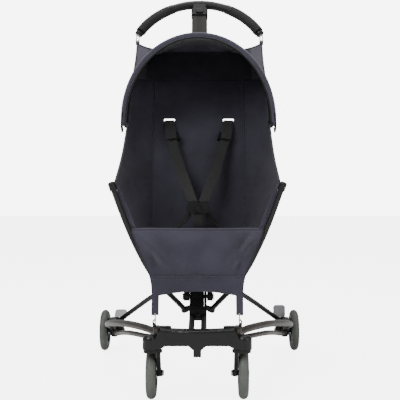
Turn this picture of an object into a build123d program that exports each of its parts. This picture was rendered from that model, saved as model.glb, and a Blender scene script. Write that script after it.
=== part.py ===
"""Compact travel stroller: front caster beam, bowed side rails, folding column, telescoping bow handle.

Frame: +Z up, -Y is the front, origin on the floor at the middle of the footprint. Millimetres.
Side parts are made for +X and mirrored.
"""

import math
import os

from build123d import *

# Wheels and their bearings
WHEEL_DIA = 120.0
WHEEL_WIDTH = 23.0
TYRE_DEPTH = 19.0
RIM_BAND = 5.0
SPOKE_COUNT = 5
SPOKE_WIDTH = 11.0
AXLE_DIA = 8.0
BEARING_DIA = 22.0
BEARING_WIDTH = 7.0
HUB_WALL = 4.0
# Clearances
RUN_GAP = 0.05
SIDE_GAP = 0.3
SEAT_GAP = 0.3
# Footprint
SWIVEL_X = 107.0
SWIVEL_Y = -303.0
TRAIL = 42.0
REAR_X = 283.0
REAR_Y = 271.0
# Front beam, heights counted up from the underside of the caster caps
CAP_CLEARANCE = 4.5
CAP_DIA = 36.0
CAP_HEIGHT = 33.0
BEAM_DEPTH = 34.0
BEAM_RISE = 9.5
BEAM_HEIGHT = 35.0
BEAM_END_RISE = 3.5
EAR = 5.0
RAIL_EAR_FLOOR = 3.4
# Side rails and the link under each
RAIL_DIA = 17.0
LINK_DIA = 12.5
RAIL_PIVOT = (92.0, -288.0)
LINK_PIVOT = (88.0, -261.0)
RAIL_REACH = (164.0, 505.0)
RAIL_EYE = (20.0, 19.0)
LINK_EYE = (16.0, 12.0)
RAIL_PIN = 8.0
LINK_PIN = 6.0
# Stations along a rail or link: fraction of its reach, outward bow, rise above the straight line
RAIL_SHAPE = [(0.09, 15.0, 10.0), (0.26, 37.0, 18.5), (0.45, 49.0, 18.5), (0.64, 48.0, 14.0),
              (0.83, 31.0, 7.0), (0.93, 13.0, 1.5)]
LINK_SHAPE = [(0.06, 23.0, 4.0), (0.25, 40.0, 11.0), (0.45, 37.0, 9.0), (0.77, 19.0, 1.0),
              (0.93, 5.0, 1.5)]
SWING = 20.0
# Hub and keel
KEEL_DIA = 14.0
TUBE_WALL = 1.5
TUBE_SPACING = 29.0
PIVOT_Y = -100.0
PIVOT_LIFT = 90.5
LUG_HALF = 15.0
CHEEK = 6.2
HUB_PIN = 10.0
# Column and handle, lengths counted up the column from its pivot
LEAN = 25.4
COLUMN_DIA = 14.0
COLUMN_TUBE_TOP = 520.0
CROWN_TOP = 62.0
STEM_BOTTOM = 410.0
STEM_TOP = 893.0
STEM_WIDTH = 46.0
STEM_DEPTH = 20.0
HANDLE_TOP = 914.0
HANDLE_RADIUS = 204.0
HANDLE_HALF = 178.0
HANDLE_CORE = 16.0
CENTRE_GRIP_DIA = 25.0
SIDE_GRIP_DIA = 29.0
CENTRE_GRIP_HALF = 79.0
COLLAR_HALF = 95.0
TRAVEL = 330.0
# Rear legs and seat arms
LEG_DIA = 13.5
LEG_TOP = (36.0, 40.0, 47.0)
LEG_FOOT = (238.0, -9.0, 32.0)
PADDLE = 5.0
PADDLE_WIDTH = 19.0
LEG_EYE = (18.0, 10.0)
STUD_DIA = 8.0
# Room under and over a leg's slotted head, because the foot leaves the flat arc a little in mid swing
HEAD_PLAY = (0.6, 4.4)
SLOT_PLAY = 1.7
SLOT_SHIFT = 1.1
ARM_DIA = 12.5
ARM_ROOT = (33.0, -14.0, -31.0)
ARM_PATH = [(60.0, -49.0, 3.0), (97.0, -87.0, 45.0), (123.0, -122.0, 90.0), (153.0, -152.0, 157.0),
            (177.0, -174.0, 223.0), (198.0, -189.0, 287.0)]
# Seat cloth
CLOTH = 3.0
SEAM_HALF = 124.0
PAN_HALF = 142.0
PAN_Z = 386.0
PAN_FRONT = -258.0
CALF_BOTTOM = 240.0
CALF_HALF = 104.0
STRAP_WIDTH = 18.0
WEBBING = 25.0
BUCKLE = (0.0, -128.0, 440.0)
# Canopy
CANOPY_PIVOT = (200.0, -20.0, 657.0)
CANOPY_RISE = 240.0
CANOPY_TILT = 20.5
CANOPY_BOW_DIA = 8.0

# Heights and places worked out from the sizes above
AXLE_Z = WHEEL_DIA / 2
CAP_Z = WHEEL_DIA + CAP_CLEARANCE
BEAM_Z = CAP_Z + BEAM_RISE
BEAM_TOP = BEAM_Z + BEAM_HEIGHT
BEAM_REAR = SWIVEL_Y + BEAM_DEPTH / 2
RAIL_Z = BEAM_TOP - 10.0
LINK_Z = BEAM_Z + 8.0
RAIL_END_Z = AXLE_Z + 24.0
LINK_END_Z = AXLE_Z - 3.0
PIVOT = Vector(0, PIVOT_Y, CAP_Z + PIVOT_LIFT)
UP = Vector(0, math.sin(math.radians(LEAN)), math.cos(math.radians(LEAN)))
FRONT = Vector(0, -math.cos(math.radians(LEAN)), math.sin(math.radians(LEAN)))
COLUMN = Plane(origin=PIVOT, x_dir=(1, 0, 0), z_dir=FRONT)
TUBE_X = TUBE_SPACING / 2
HUB_HALF = LUG_HALF + SIDE_GAP + CHEEK
RAIL_REAR = (RAIL_PIVOT[0] + RAIL_REACH[0], RAIL_PIVOT[1] + RAIL_REACH[1])
LINK_REAR = (LINK_PIVOT[0] + RAIL_REACH[0], LINK_PIVOT[1] + RAIL_REACH[1])
LEG_H = Vector(LEG_TOP[0], PIVOT_Y + LEG_TOP[1], PIVOT.Z + LEG_TOP[2])
LEG_U = Vector(LEG_FOOT[0], REAR_Y + LEG_FOOT[1], AXLE_Z + LEG_FOOT[2])
ARM_E = Vector(ARM_ROOT[0], PIVOT_Y + ARM_ROOT[1], PIVOT.Z + ARM_ROOT[2])
PAN_TOP = PAN_Z + CLOTH


def swing_shift():
    """How far a rear unit moves when its rail swings in by SWING about the upright front pin."""
    reach = Vector(RAIL_REACH[0], RAIL_REACH[1], 0)
    return reach.rotate(Axis.Z, SWING) - reach


# A rear leg turns about one axis from its open foot to its folded foot
LEG_REST = LEG_U - LEG_H
LEG_FOLDED = LEG_REST + swing_shift()
LEG_AXIS = LEG_FOLDED.cross(LEG_REST).normalized()
LEG_AXIS = LEG_AXIS if LEG_AXIS.Z > 0 else LEG_AXIS * -1
LEG_SLIDE = LEG_REST.length - LEG_FOLDED.length
# A seat arm turns from beside the seat to alongside the column
ARM_TIP = Vector(ARM_PATH[-1][0], PIVOT_Y + ARM_PATH[-1][1], PIVOT.Z + ARM_PATH[-1][2])
ARM_REST = ARM_TIP - ARM_E
ARM_FOLDED = Vector(135, 0, 0) + UP * 372 + FRONT * 90
ARM_AXIS = ARM_FOLDED.cross(ARM_REST).normalized()


def rod(points, radius):
    """Round rod along straight runs joined by tangent arcs as large as the runs allow."""
    places = [Vector(*p) for p in points]
    if len(places) == 2:
        path = Line(*places)
    else:
        radii = []
        for before, here, after in zip(places, places[1:], places[2:]):
            turn = math.radians((here - before).get_angle(after - here))
            shorter = min((here - before).length, (after - here).length)
            radii.append(0.45 * shorter / math.tan(turn / 2))
        path = FilletPolyline(*places, radius=radii)
    section = Plane(origin=places[0], z_dir=places[1] - places[0]) * Circle(radius)
    return sweep(section, path=path)


def bar(start, direction, length, radius, bore=0.0):
    """Cylinder, or tube with a bore, from start along direction."""
    base = Plane(origin=start, z_dir=direction)
    face = Circle(radius) - Circle(bore) if bore else Circle(radius)
    return extrude(base * face, amount=length)


def slab(x0, x1, y0, y1, z0, z1):
    """Box between two corners."""
    size = (x1 - x0, y1 - y0, z1 - z0)
    return Pos((x0 + x1) / 2, (y0 + y1) / 2, (z0 + z1) / 2) * Box(*size)


def strap_outline(first, r0, second, r1):
    """Outline of two round ends joined by tangent sides."""
    ends = Pos(*first) * Circle(r0), Pos(*second) * Circle(r1)
    return make_hull(ends[0].edges() + ends[1].edges())


def level_plate(first, r0, second, r1, z0, z1):
    """Level plate with two round ends."""
    return extrude(Plane.XY.offset(z0) * strap_outline(first, r0, second, r1), amount=z1 - z0)


def side_plate(first, r0, second, r1, x0, x1):
    """Upright plate across X whose round ends are given as (y, z)."""
    return extrude(Plane.YZ.offset(x0) * strap_outline(first, r0, second, r1), amount=x1 - x0)


def mirrored(shape):
    """The same piece for -X."""
    return mirror(shape, about=Plane.YZ)


def both(shape):
    """The piece and its mirror as one group of separate solids."""
    return Compound([*shape.solids(), *mirrored(shape).solids()])


def group(*shapes):
    """Separate solids kept in one node."""
    return Compound([solid for shape in shapes for solid in shape.solids()])


# Wheels: made on the X axis about the origin
def tyre():
    half = WHEEL_WIDTH / 2
    outer = WHEEL_DIA / 2
    inner = outer - TYRE_DEPTH
    shoulder = outer - 11.0
    outline = Polyline((-half, shoulder), (-half, inner + 3), (-half + 2, inner), (half - 2, inner),
                       (half, inner + 3), (half, shoulder))
    tread = ThreePointArc((half, shoulder), (0, outer), (-half, shoulder))
    return revolve(make_face(outline + tread), axis=Axis.X)


def wheel_core():
    half = WHEEL_WIDTH / 2 - 0.5
    rim = WHEEL_DIA / 2 - TYRE_DEPTH
    hub = BEARING_DIA / 2 + HUB_WALL
    band = half - 1.5
    core = bar((-band, 0, 0), (1, 0, 0), 2 * band, rim, rim - RIM_BAND)
    core += bar((-half, 0, 0), (1, 0, 0), 2 * half, hub)
    spoke = slab(-half + 4, half - 4, -SPOKE_WIDTH / 2, SPOKE_WIDTH / 2, hub - 2, rim - RIM_BAND + 1)
    for turn in range(SPOKE_COUNT):
        core += Rot(360 / SPOKE_COUNT * turn, 0, 0) * spoke
    core -= bar((-half - 1, 0, 0), (1, 0, 0), 2 * half + 2, BEARING_DIA / 2 - 3)
    for end in (-half, half - BEARING_WIDTH):
        core -= bar((end, 0, 0), (1, 0, 0), BEARING_WIDTH, BEARING_DIA / 2)
    return core


def bearings():
    half = WHEEL_WIDTH / 2 - 0.5
    ring = [bar((start, 0, 0), (1, 0, 0), BEARING_WIDTH, BEARING_DIA / 2, AXLE_DIA / 2 + RUN_GAP)
            for start in (-half, half - BEARING_WIDTH)]
    return group(*ring)


# Front casters, for +X
CASTER_AXLE = Vector(SWIVEL_X, SWIVEL_Y + TRAIL, AXLE_Z)
WHEEL_FACE = WHEEL_WIDTH / 2 - 0.5
FORK_FACE = SWIVEL_X - WHEEL_WIDTH / 2 - 2.7
FORK_THICK = 8.0
CROWN_Z = CAP_Z - 1.0
CROWN_THICK = 6.5
STEM_DIA = 10.0
BUSH_DIA = 15.0


def caster_fork():
    top = (SWIVEL_Y + 1, CROWN_Z - CROWN_THICK / 2 - 8)
    axle = (CASTER_AXLE.Y, CASTER_AXLE.Z)
    arm = side_plate(axle, 8.5, top, 11.5, FORK_FACE - FORK_THICK, FORK_FACE)
    arm -= slab(0, SWIVEL_X, SWIVEL_Y - 60, SWIVEL_Y + 90, CROWN_Z, CROWN_Z + 60)
    foot = (FORK_FACE - FORK_THICK / 2, SWIVEL_Y)
    crown = level_plate(foot, FORK_THICK / 2 + 5, (SWIVEL_X, SWIVEL_Y), 16.0, CROWN_Z - CROWN_THICK, CROWN_Z)
    fork = arm + crown + bar((SWIVEL_X, SWIVEL_Y, CROWN_Z - 1), (0, 0, 1), 27.0, STEM_DIA / 2)
    boss_end = SWIVEL_X - WHEEL_FACE - SIDE_GAP
    fork += bar((FORK_FACE - 1, axle[0], axle[1]), (1, 0, 0), boss_end - FORK_FACE + 1, 6.5)
    fork += bar((FORK_FACE - FORK_THICK - 3, axle[0], axle[1]), (1, 0, 0), 6.0, 8.0)
    return fork - bar((0, axle[0], axle[1]), (1, 0, 0), SWIVEL_X, AXLE_DIA / 2)


def caster_axle():
    inner = FORK_FACE - FORK_THICK - 3
    outer = SWIVEL_X + WHEEL_FACE + SIDE_GAP
    y, z = CASTER_AXLE.Y, CASTER_AXLE.Z
    bolt = bar((inner, y, z), (1, 0, 0), outer - inner + 1, AXLE_DIA / 2)
    bolt += bar((outer, y, z), (1, 0, 0), 3.0, 6.0)
    return bolt + bar((inner - 3.5, y, z), (1, 0, 0), 3.5, 6.5)


# Front beam
SLOT_Z = (RAIL_Z - RAIL_EYE[1] / 2 - SIDE_GAP, RAIL_Z + RAIL_EYE[1] / 2 + SIDE_GAP)
LINK_SLOT = (LINK_Z - LINK_EYE[1] / 2 - SIDE_GAP, LINK_Z + LINK_EYE[1] / 2 + SIDE_GAP)
KEEL_SLOPE = 8.5
KEEL_DIR = Vector(0, math.cos(math.radians(KEEL_SLOPE)), math.sin(math.radians(KEEL_SLOPE)))
KEEL_START = Vector(0, BEAM_REAR - 24.0, BEAM_Z + 20.0)
KEEL_LENGTH = (PIVOT_Y - 41.0 - KEEL_START.Y) / KEEL_DIR.Y


def keel_point(side, along):
    """Point on one keel tube's axis."""
    return KEEL_START + KEEL_DIR * along + Vector(side * TUBE_X, 0, 0)


def front_beam():
    end_x = RAIL_PIVOT[0] - 8.0
    end_top = BEAM_TOP + BEAM_END_RISE
    shoulder_x = RAIL_PIVOT[0] + 4.0
    shoulder_z = SLOT_Z[0]
    right = Polyline((9, CAP_Z - 15.5), (9, CAP_Z), (20, BEAM_Z), (72, BEAM_Z), (86, CAP_Z + 2),
                     (SWIVEL_X, CAP_Z + 2), (SWIVEL_X, shoulder_z), (shoulder_x, shoulder_z),
                     (end_x, end_top))
    left = Polyline(*[(-p.X, p.Y) for p in reversed([v.center() for v in right.vertices()])])
    top = ThreePointArc((end_x, end_top), (0, BEAM_TOP), (-end_x, end_top))
    foot = Line((-9, CAP_Z - 15.5), (9, CAP_Z - 15.5))
    face = make_face(right + left + top + foot)
    beam = extrude(Plane(origin=(0, BEAM_REAR, 0), x_dir=(1, 0, 0), z_dir=(0, -1, 0)) * face,
                   amount=BEAM_DEPTH)
    upper = [e for e in beam.edges() if e.center().Z > BEAM_TOP - 1 and e.length > 100]
    beam = fillet(upper, 6.0)
    for side in (1, -1):
        beam += beam_end(side)
    for side in (1, -1):
        beam -= beam_cuts(side)
    return beam


def beam_end(side):
    """Caster cap and the four pivot ears on one end of the beam."""
    cap = bar((SWIVEL_X, SWIVEL_Y, CAP_Z), (0, 0, 1), CAP_HEIGHT, CAP_DIA / 2)
    cap = fillet(cap.edges().sort_by(Axis.Z)[-1], 11.0)
    root = (RAIL_PIVOT[0] - 22.0, RAIL_PIVOT[1])
    reach = RAIL_EYE[0] / 2
    end = cap + level_plate(root, reach, RAIL_PIVOT, reach, SLOT_Z[1], SLOT_Z[1] + EAR)
    end += level_plate(root, reach, RAIL_PIVOT, reach, SLOT_Z[0] - EAR, SLOT_Z[0])
    root = (LINK_PIVOT[0] - 22.0, LINK_PIVOT[1] - 25.0)
    reach = LINK_EYE[0] / 2
    end += level_plate(root, reach, LINK_PIVOT, reach, LINK_SLOT[1], LINK_SLOT[1] + 3.0)
    end += level_plate(root, reach, LINK_PIVOT, reach, LINK_SLOT[0] - EAR, LINK_SLOT[0])
    end += hook_post(RAIL_PIVOT[0] + 5.0)
    return end if side > 0 else mirrored(end)


def hook_post(x):
    """Upright eye on the beam's top ear that the calf strap's hook closes on."""
    eye = Plane.XZ.offset(-RAIL_PIVOT[1]) * strap_outline((x, SLOT_Z[1] + EAR), 6.0,
                                                         (x, SLOT_Z[1] + EAR + 10), 6.5)
    post = extrude(eye, amount=2.5, both=True)
    hole = bar((x, RAIL_PIVOT[1] - 5, SLOT_Z[1] + EAR + 10), (0, 1, 0), 10, 3.5)
    return post - hole - slab(0, x + 9, RAIL_PIVOT[1] - 5, RAIL_PIVOT[1] + 5, 0, SLOT_Z[1] + 0.5)


def beam_cuts(side):
    """Slots for the rail and link eyes, pin holes, caster bush seat and keel socket."""
    cut = slab(RAIL_PIVOT[0] - 14, SWIVEL_X + 30, RAIL_PIVOT[1] - RAIL_EYE[0] / 2 - 3,
               RAIL_PIVOT[1] + 40, *SLOT_Z)
    cut -= slab(0, 200, LINK_PIVOT[1] - 18, 0, 0, LINK_SLOT[1] + 3.0)
    cut += slab(LINK_PIVOT[0] - 13, SWIVEL_X + 40, LINK_PIVOT[1] - 10, LINK_PIVOT[1] + 40, *LINK_SLOT)
    cut += bar((*RAIL_PIVOT, 0), (0, 0, 1), 400, RAIL_PIN / 2)
    cut += bar((*LINK_PIVOT, 0), (0, 0, 1), LINK_SLOT[1] + 10, LINK_PIN / 2)
    cut += bar((SWIVEL_X, SWIVEL_Y, CAP_Z - 1), (0, 0, 1), 27.5, BUSH_DIA / 2)
    cut += bar(keel_point(1, 0), KEEL_DIR, 60.0, KEEL_DIA / 2)
    return cut if side > 0 else mirrored(cut)


def caster_bush():
    return bar((SWIVEL_X, SWIVEL_Y, CAP_Z), (0, 0, 1), 26.0, BUSH_DIA / 2, STEM_DIA / 2 + RUN_GAP)


def front_pins():
    """Rail and link pivot pins through the beam's ears."""
    rail = bar((*RAIL_PIVOT, SLOT_Z[0] - EAR), (0, 0, 1), SLOT_Z[1] - SLOT_Z[0] + 2 * EAR, RAIL_PIN / 2)
    rail += bar((*RAIL_PIVOT, SLOT_Z[1] + EAR), (0, 0, 1), 2.5, 3.9)
    link = bar((*LINK_PIVOT, LINK_SLOT[0] - EAR), (0, 0, 1), LINK_SLOT[1] - LINK_SLOT[0] + EAR + 3,
               LINK_PIN / 2)
    link += bar((*LINK_PIVOT, LINK_SLOT[0] - EAR - 2), (0, 0, 1), 2.0, LINK_PIN / 2 + 2)
    return both(group(rail, link))


def keel_tubes():
    return group(*[bar(keel_point(side, 0), KEEL_DIR, KEEL_LENGTH, KEEL_DIA / 2,
                       KEEL_DIA / 2 - TUBE_WALL) for side in (1, -1)])


# Rails and links, for +X
def bowed_path(start, z0, z1, shape):
    """Points from a front pin to its rear pin, bowed outward and up."""
    length = math.hypot(*RAIL_REACH)
    along = Vector(RAIL_REACH[0] / length, RAIL_REACH[1] / length, 0)
    outward = Vector(along.Y, -along.X, 0)
    first = Vector(start[0], start[1], z0)
    points = [first]
    for fraction, bow, rise in shape:
        level = Vector(0, 0, (z1 - z0) * fraction + rise)
        points.append(first + along * (length * fraction) + outward * bow + level)
    points.append(first + along * length + Vector(0, 0, z1 - z0))
    return [tuple(p) for p in points]


def swinging_bar(start, z0, z1, shape, radius, eye, pin):
    """Bowed rod with an upright eye at each end."""
    path = bowed_path(start, z0, z1, shape)
    body = rod(path, radius)
    for place in (path[0], path[-1]):
        base = Vector(place[0], place[1], place[2] - eye[1] / 2)
        body -= bar(base - Vector(0, 0, 20), (0, 0, 1), eye[1] + 40, eye[0] / 2)
        body += bar(base, (0, 0, 1), eye[1], eye[0] / 2)
        body -= bar(base - Vector(0, 0, 1), (0, 0, 1), eye[1] + 2, pin / 2 + RUN_GAP)
    return body


def side_rail():
    return swinging_bar(RAIL_PIVOT, RAIL_Z, RAIL_END_Z, RAIL_SHAPE, RAIL_DIA / 2, RAIL_EYE, RAIL_PIN)


def lower_link():
    return swinging_bar(LINK_PIVOT, LINK_Z, LINK_END_Z, LINK_SHAPE, LINK_DIA / 2, LINK_EYE, LINK_PIN)


# Rear unit, for +X
UNIT_X = (LEG_FOOT[0] - 11.0, REAR_X - WHEEL_WIDTH / 2 - 5.5)
UNIT_Y = (REAR_Y - 13.0, REAR_Y + 9.0)
UPPER_EARS = (RAIL_END_Z - RAIL_EYE[1] / 2 - SIDE_GAP, RAIL_END_Z + RAIL_EYE[1] / 2 + SIDE_GAP)
LOWER_EARS = (LINK_END_Z - LINK_EYE[1] / 2 - SIDE_GAP, LINK_END_Z + LINK_EYE[1] / 2 + SIDE_GAP)
PEDAL_PIVOT = (REAR_Y + 17.0, AXLE_Z + 22.0)
PEDAL_X = LEG_FOOT[0] + 3.0
PEDAL_HALF = 18.0
PEDAL_LENGTH = 50.0
PEDAL_UP = 14.0
PEDAL_DOWN = 55.0
PEDAL_LUG = 4.0


def rear_bracket():
    x0, x1 = UNIT_X
    y0, y1 = UNIT_Y
    top = UPPER_EARS[1] + EAR
    bracket = slab(x0, x1, y0, y1, LOWER_EARS[0] - 4.5, top)
    bracket = fillet(bracket.edges().filter_by(Axis.X), 7.0)
    middle = (x1 - 9.5, y0 + 8)
    for low, high in ((UPPER_EARS[1], UPPER_EARS[1] + EAR), (UPPER_EARS[0] - RAIL_EAR_FLOOR, UPPER_EARS[0])):
        bracket += level_plate(middle, 9.5, RAIL_REAR, RAIL_EYE[0] / 2, low, high)
    for low, high in ((LOWER_EARS[1], LOWER_EARS[1] + 4), (LOWER_EARS[0] - 4.5, LOWER_EARS[0])):
        bracket += level_plate(middle, 9.5, LINK_REAR, LINK_EYE[0] / 2, low, high)
    bracket += bar((x1 - 1, REAR_Y, AXLE_Z), (1, 0, 0),
                   REAR_X - WHEEL_FACE - SIDE_GAP - x1 + 1, 7.5)
    bracket += side_plate((y1 - 9, PEDAL_PIVOT[1]), 8.0, PEDAL_PIVOT, 7.5,
                          PEDAL_X - PEDAL_LUG, PEDAL_X + PEDAL_LUG)
    bracket -= slab(RAIL_REAR[0] - 13, 400, RAIL_REAR[1] - 30, y0 - 0.2, *UPPER_EARS)
    bracket -= bar((LINK_REAR[0], LINK_REAR[1], LOWER_EARS[0]), (0, 0, 1),
                   LOWER_EARS[1] - LOWER_EARS[0], LINK_EYE[0] / 2 + 1.5)
    bracket -= leg_clearance()
    bracket += bar(LEG_U - LEG_AXIS * (LEG_EYE[1] / 2 + 6), LEG_AXIS, 6 - SIDE_GAP, 8.0)
    bracket -= bar((*RAIL_REAR, 0), (0, 0, 1), 300, RAIL_PIN / 2)
    bracket -= bar((*LINK_REAR, 0), (0, 0, 1), LOWER_EARS[1] + 4, LINK_PIN / 2)
    bracket -= bar((x0 - 1, REAR_Y, AXLE_Z), (1, 0, 0), 80, AXLE_DIA / 2)
    bracket -= bar((x0 - 40, *PEDAL_PIVOT), (1, 0, 0), 80, 3.0)
    return bracket - bar(LEG_U - LEG_AXIS * 17, LEG_AXIS, 40, STUD_DIA / 2)


def leg_clearance():
    """Space over the unit that the leg's foot sweeps as it turns on its stud."""
    base = LEG_U - LEG_AXIS * (LEG_DIA / 2 + 0.8)
    space = bar(base, LEG_AXIS, 40, LEG_EYE[0] / 2 + 1)
    for way in (LEG_REST, (LEG_REST + LEG_FOLDED) / 2, LEG_FOLDED):
        face = Plane(origin=base, x_dir=way * -1, z_dir=LEG_AXIS)
        outline = Pos(45, 0) * Rectangle(90, LEG_EYE[0] + 2)
        space += extrude(face * outline, amount=40)
    return space


def rear_axle():
    outer = REAR_X + WHEEL_FACE + SIDE_GAP
    bolt = bar((UNIT_X[0], REAR_Y, AXLE_Z), (1, 0, 0), outer + 2 - UNIT_X[0], AXLE_DIA / 2)
    bolt += bar((outer, REAR_Y, AXLE_Z), (1, 0, 0), 2.7, 6.5)
    return bolt + bar((UNIT_X[0] - 3, REAR_Y, AXLE_Z), (1, 0, 0), 3.0, 6.5)


def unit_pins():
    """Rail pin, link pin, pedal pin and the stud that the leg turns on."""
    rail = bar((*RAIL_REAR, UPPER_EARS[0] - RAIL_EAR_FLOOR), (0, 0, 1),
               UPPER_EARS[1] - UPPER_EARS[0] + RAIL_EAR_FLOOR + EAR,
               RAIL_PIN / 2)
    link = bar((*LINK_REAR, LOWER_EARS[0] - 4.5), (0, 0, 1),
               LOWER_EARS[1] - LOWER_EARS[0] + 4.5 + 3.5, LINK_PIN / 2)
    pedal = bar((PEDAL_X - PEDAL_HALF + 5, *PEDAL_PIVOT), (1, 0, 0), 2 * PEDAL_HALF - 10, 3.0)
    foot = LEG_U - LEG_AXIS * 17
    rise = 17 + LEG_EYE[1] / 2 + SIDE_GAP
    stud = bar(foot, LEG_AXIS, rise, STUD_DIA / 2) + bar(foot + LEG_AXIS * rise, LEG_AXIS, 3, 7.5)
    return group(rail, link, pedal, stud)


def brake_pedal(tilt):
    """Foot plate on two hubs, turned back by tilt about its pin."""
    hubs = []
    for low, high in ((-PEDAL_HALF + 5.5, -PEDAL_LUG - SIDE_GAP), (PEDAL_LUG + SIDE_GAP, PEDAL_HALF - 5.5)):
        hubs.append(bar((low, 0, 0), (1, 0, 0), high - low, 7.0))
    plate = slab(-PEDAL_HALF, PEDAL_HALF, -2.8, 2.8, 11.0, PEDAL_LENGTH)
    plate = fillet(plate.edges().filter_by(Axis.Y), 9.0)
    web = [slab(low, high, -2.6, 2.6, 3, 14.0)
           for low, high in ((-PEDAL_HALF + 5.5, -PEDAL_LUG - SIDE_GAP),
                             (PEDAL_LUG + SIDE_GAP, PEDAL_HALF - 5.5))]
    pedal = plate
    for piece in hubs + web:
        pedal += piece
    pedal -= bar((-50, 0, 0), (1, 0, 0), 100, 3.0 + RUN_GAP)
    return Pos(PEDAL_X, *PEDAL_PIVOT) * Rot(-tilt, 0, 0) * pedal


# Hub
KNUCKLE = (HUB_HALF + 0.7, HUB_HALF + 15.0)
POST_DIA = 7.0


def hub_block():
    """Casting on the keel tubes with the lug that the column turns on."""
    rear = keel_point(1, KEEL_LENGTH)
    base = slab(-HUB_HALF, HUB_HALF, rear.Y - 30, rear.Y + 4, rear.Z - 14, rear.Z + 17)
    base = fillet(base.edges().filter_by(Axis.X), 5.0)
    base -= bar((-40, PIVOT.Y, PIVOT.Z), (1, 0, 0), 80, 45.0)
    lug = side_plate((rear.Y - 4, rear.Z), 13.0, (PIVOT.Y, PIVOT.Z), 13.0, -LUG_HALF, LUG_HALF)
    block = base + lug - bar((-40, PIVOT.Y, PIVOT.Z), (1, 0, 0), 80, HUB_PIN / 2)
    for side in (1, -1):
        block -= bar(keel_point(side, KEEL_LENGTH - 60), KEEL_DIR, 60.0, KEEL_DIA / 2)
    return block - latch_well()


LATCH_DIA = 14.0
LATCH_TRAVEL = 4.0


def latch_well():
    rear = keel_point(1, KEEL_LENGTH)
    return bar((0, rear.Y - 31, rear.Z - 1), (0, 1, 0), 20, LATCH_DIA / 2 + RUN_GAP)


def fold_latch():
    """Round push button between the keel tubes."""
    rear = keel_point(1, KEEL_LENGTH)
    button = bar((0, rear.Y - 38, rear.Z - 1), (0, 1, 0), 22, LATCH_DIA / 2)
    return fillet(button.edges().sort_by(Axis.Y)[0], 2.0)


def leg_knuckle():
    """Root fitting on the hub pin's end, with the tilted post that a leg's slotted head slides on."""
    under = PADDLE / 2 + HEAD_PLAY[0]
    base = LEG_H - LEG_AXIS * under
    low = base - LEG_AXIS * 9
    plate = side_plate((PIVOT.Y, PIVOT.Z), 11.0, (low.Y, low.Z), 9.0, *KNUCKLE)
    knuckle = plate + bar(base - LEG_AXIS * 16, LEG_AXIS, 16, 8.5)
    knuckle -= bar(base, LEG_AXIS, 40, 30)
    knuckle -= slab(0, KNUCKLE[0], -300, 100, 100, 400)
    rise = PADDLE + sum(HEAD_PLAY)
    knuckle += bar(base - LEG_AXIS, LEG_AXIS, rise + 1, POST_DIA / 2)
    knuckle += bar(base + LEG_AXIS * rise, LEG_AXIS, 3, 8.5)
    return knuckle - bar((0, PIVOT.Y, PIVOT.Z), (1, 0, 0), 100, HUB_PIN / 2)


def hub_pin():
    half = KNUCKLE[1] + 0.2
    pin = bar((-half, PIVOT.Y, PIVOT.Z), (1, 0, 0), 2 * half, HUB_PIN / 2)
    for start in (-half - 3, half):
        pin += bar((start, PIVOT.Y, PIVOT.Z), (1, 0, 0), 3, 8.0)
    return pin


# Rear leg, for +X
def rear_leg():
    """Rod with an eye on the rear unit's stud and a slotted head on the hub post."""
    along = LEG_REST.normalized()
    head_end = LEG_SLIDE + PADDLE_WIDTH / 2 + 16
    bend = LEG_H + along * (LEG_REST.length * 0.5) + Vector(0, 0, 5.0)
    body = rod([tuple(LEG_H + along * (head_end - 14)), tuple(bend), tuple(LEG_U - along * 4)], LEG_DIA / 2)
    flat = Plane(origin=LEG_H - LEG_AXIS * (PADDLE / 2), x_dir=along, z_dir=LEG_AXIS)
    clear = strap_outline((-60, 0), 12.0, (head_end - 12, 0), 12.0)
    body -= extrude(flat.offset(PADDLE) * clear, amount=20)
    body -= extrude(flat * clear, amount=-20)
    outline = strap_outline((-3, SLOT_SHIFT), PADDLE_WIDTH / 2, (head_end, 0), LEG_DIA / 2)
    body += extrude(flat * outline, amount=PADDLE)
    half = POST_DIA / 2 + SLOT_PLAY
    slot = strap_outline((-1.5, SLOT_SHIFT), half, (LEG_SLIDE + 1.5, SLOT_SHIFT), half)
    body -= extrude(flat.offset(-2) * slot, amount=PADDLE + 4)
    eye_base = LEG_U - LEG_AXIS * (LEG_EYE[1] / 2)
    body -= bar(eye_base - LEG_AXIS * 10, LEG_AXIS, 10, LEG_EYE[0] / 2)
    body -= bar(eye_base + LEG_AXIS * LEG_EYE[1], LEG_AXIS, 10, LEG_EYE[0] / 2)
    body += bar(eye_base, LEG_AXIS, LEG_EYE[1], LEG_EYE[0] / 2)
    return body - bar(eye_base - LEG_AXIS * 10, LEG_AXIS, LEG_EYE[1] + 20, STUD_DIA / 2 + RUN_GAP)


# Column
def on_column(across, along, out=0.0):
    """Point from its place across, up and in front of the column."""
    return PIVOT + Vector(across, 0, 0) + UP * along + FRONT * out


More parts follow.
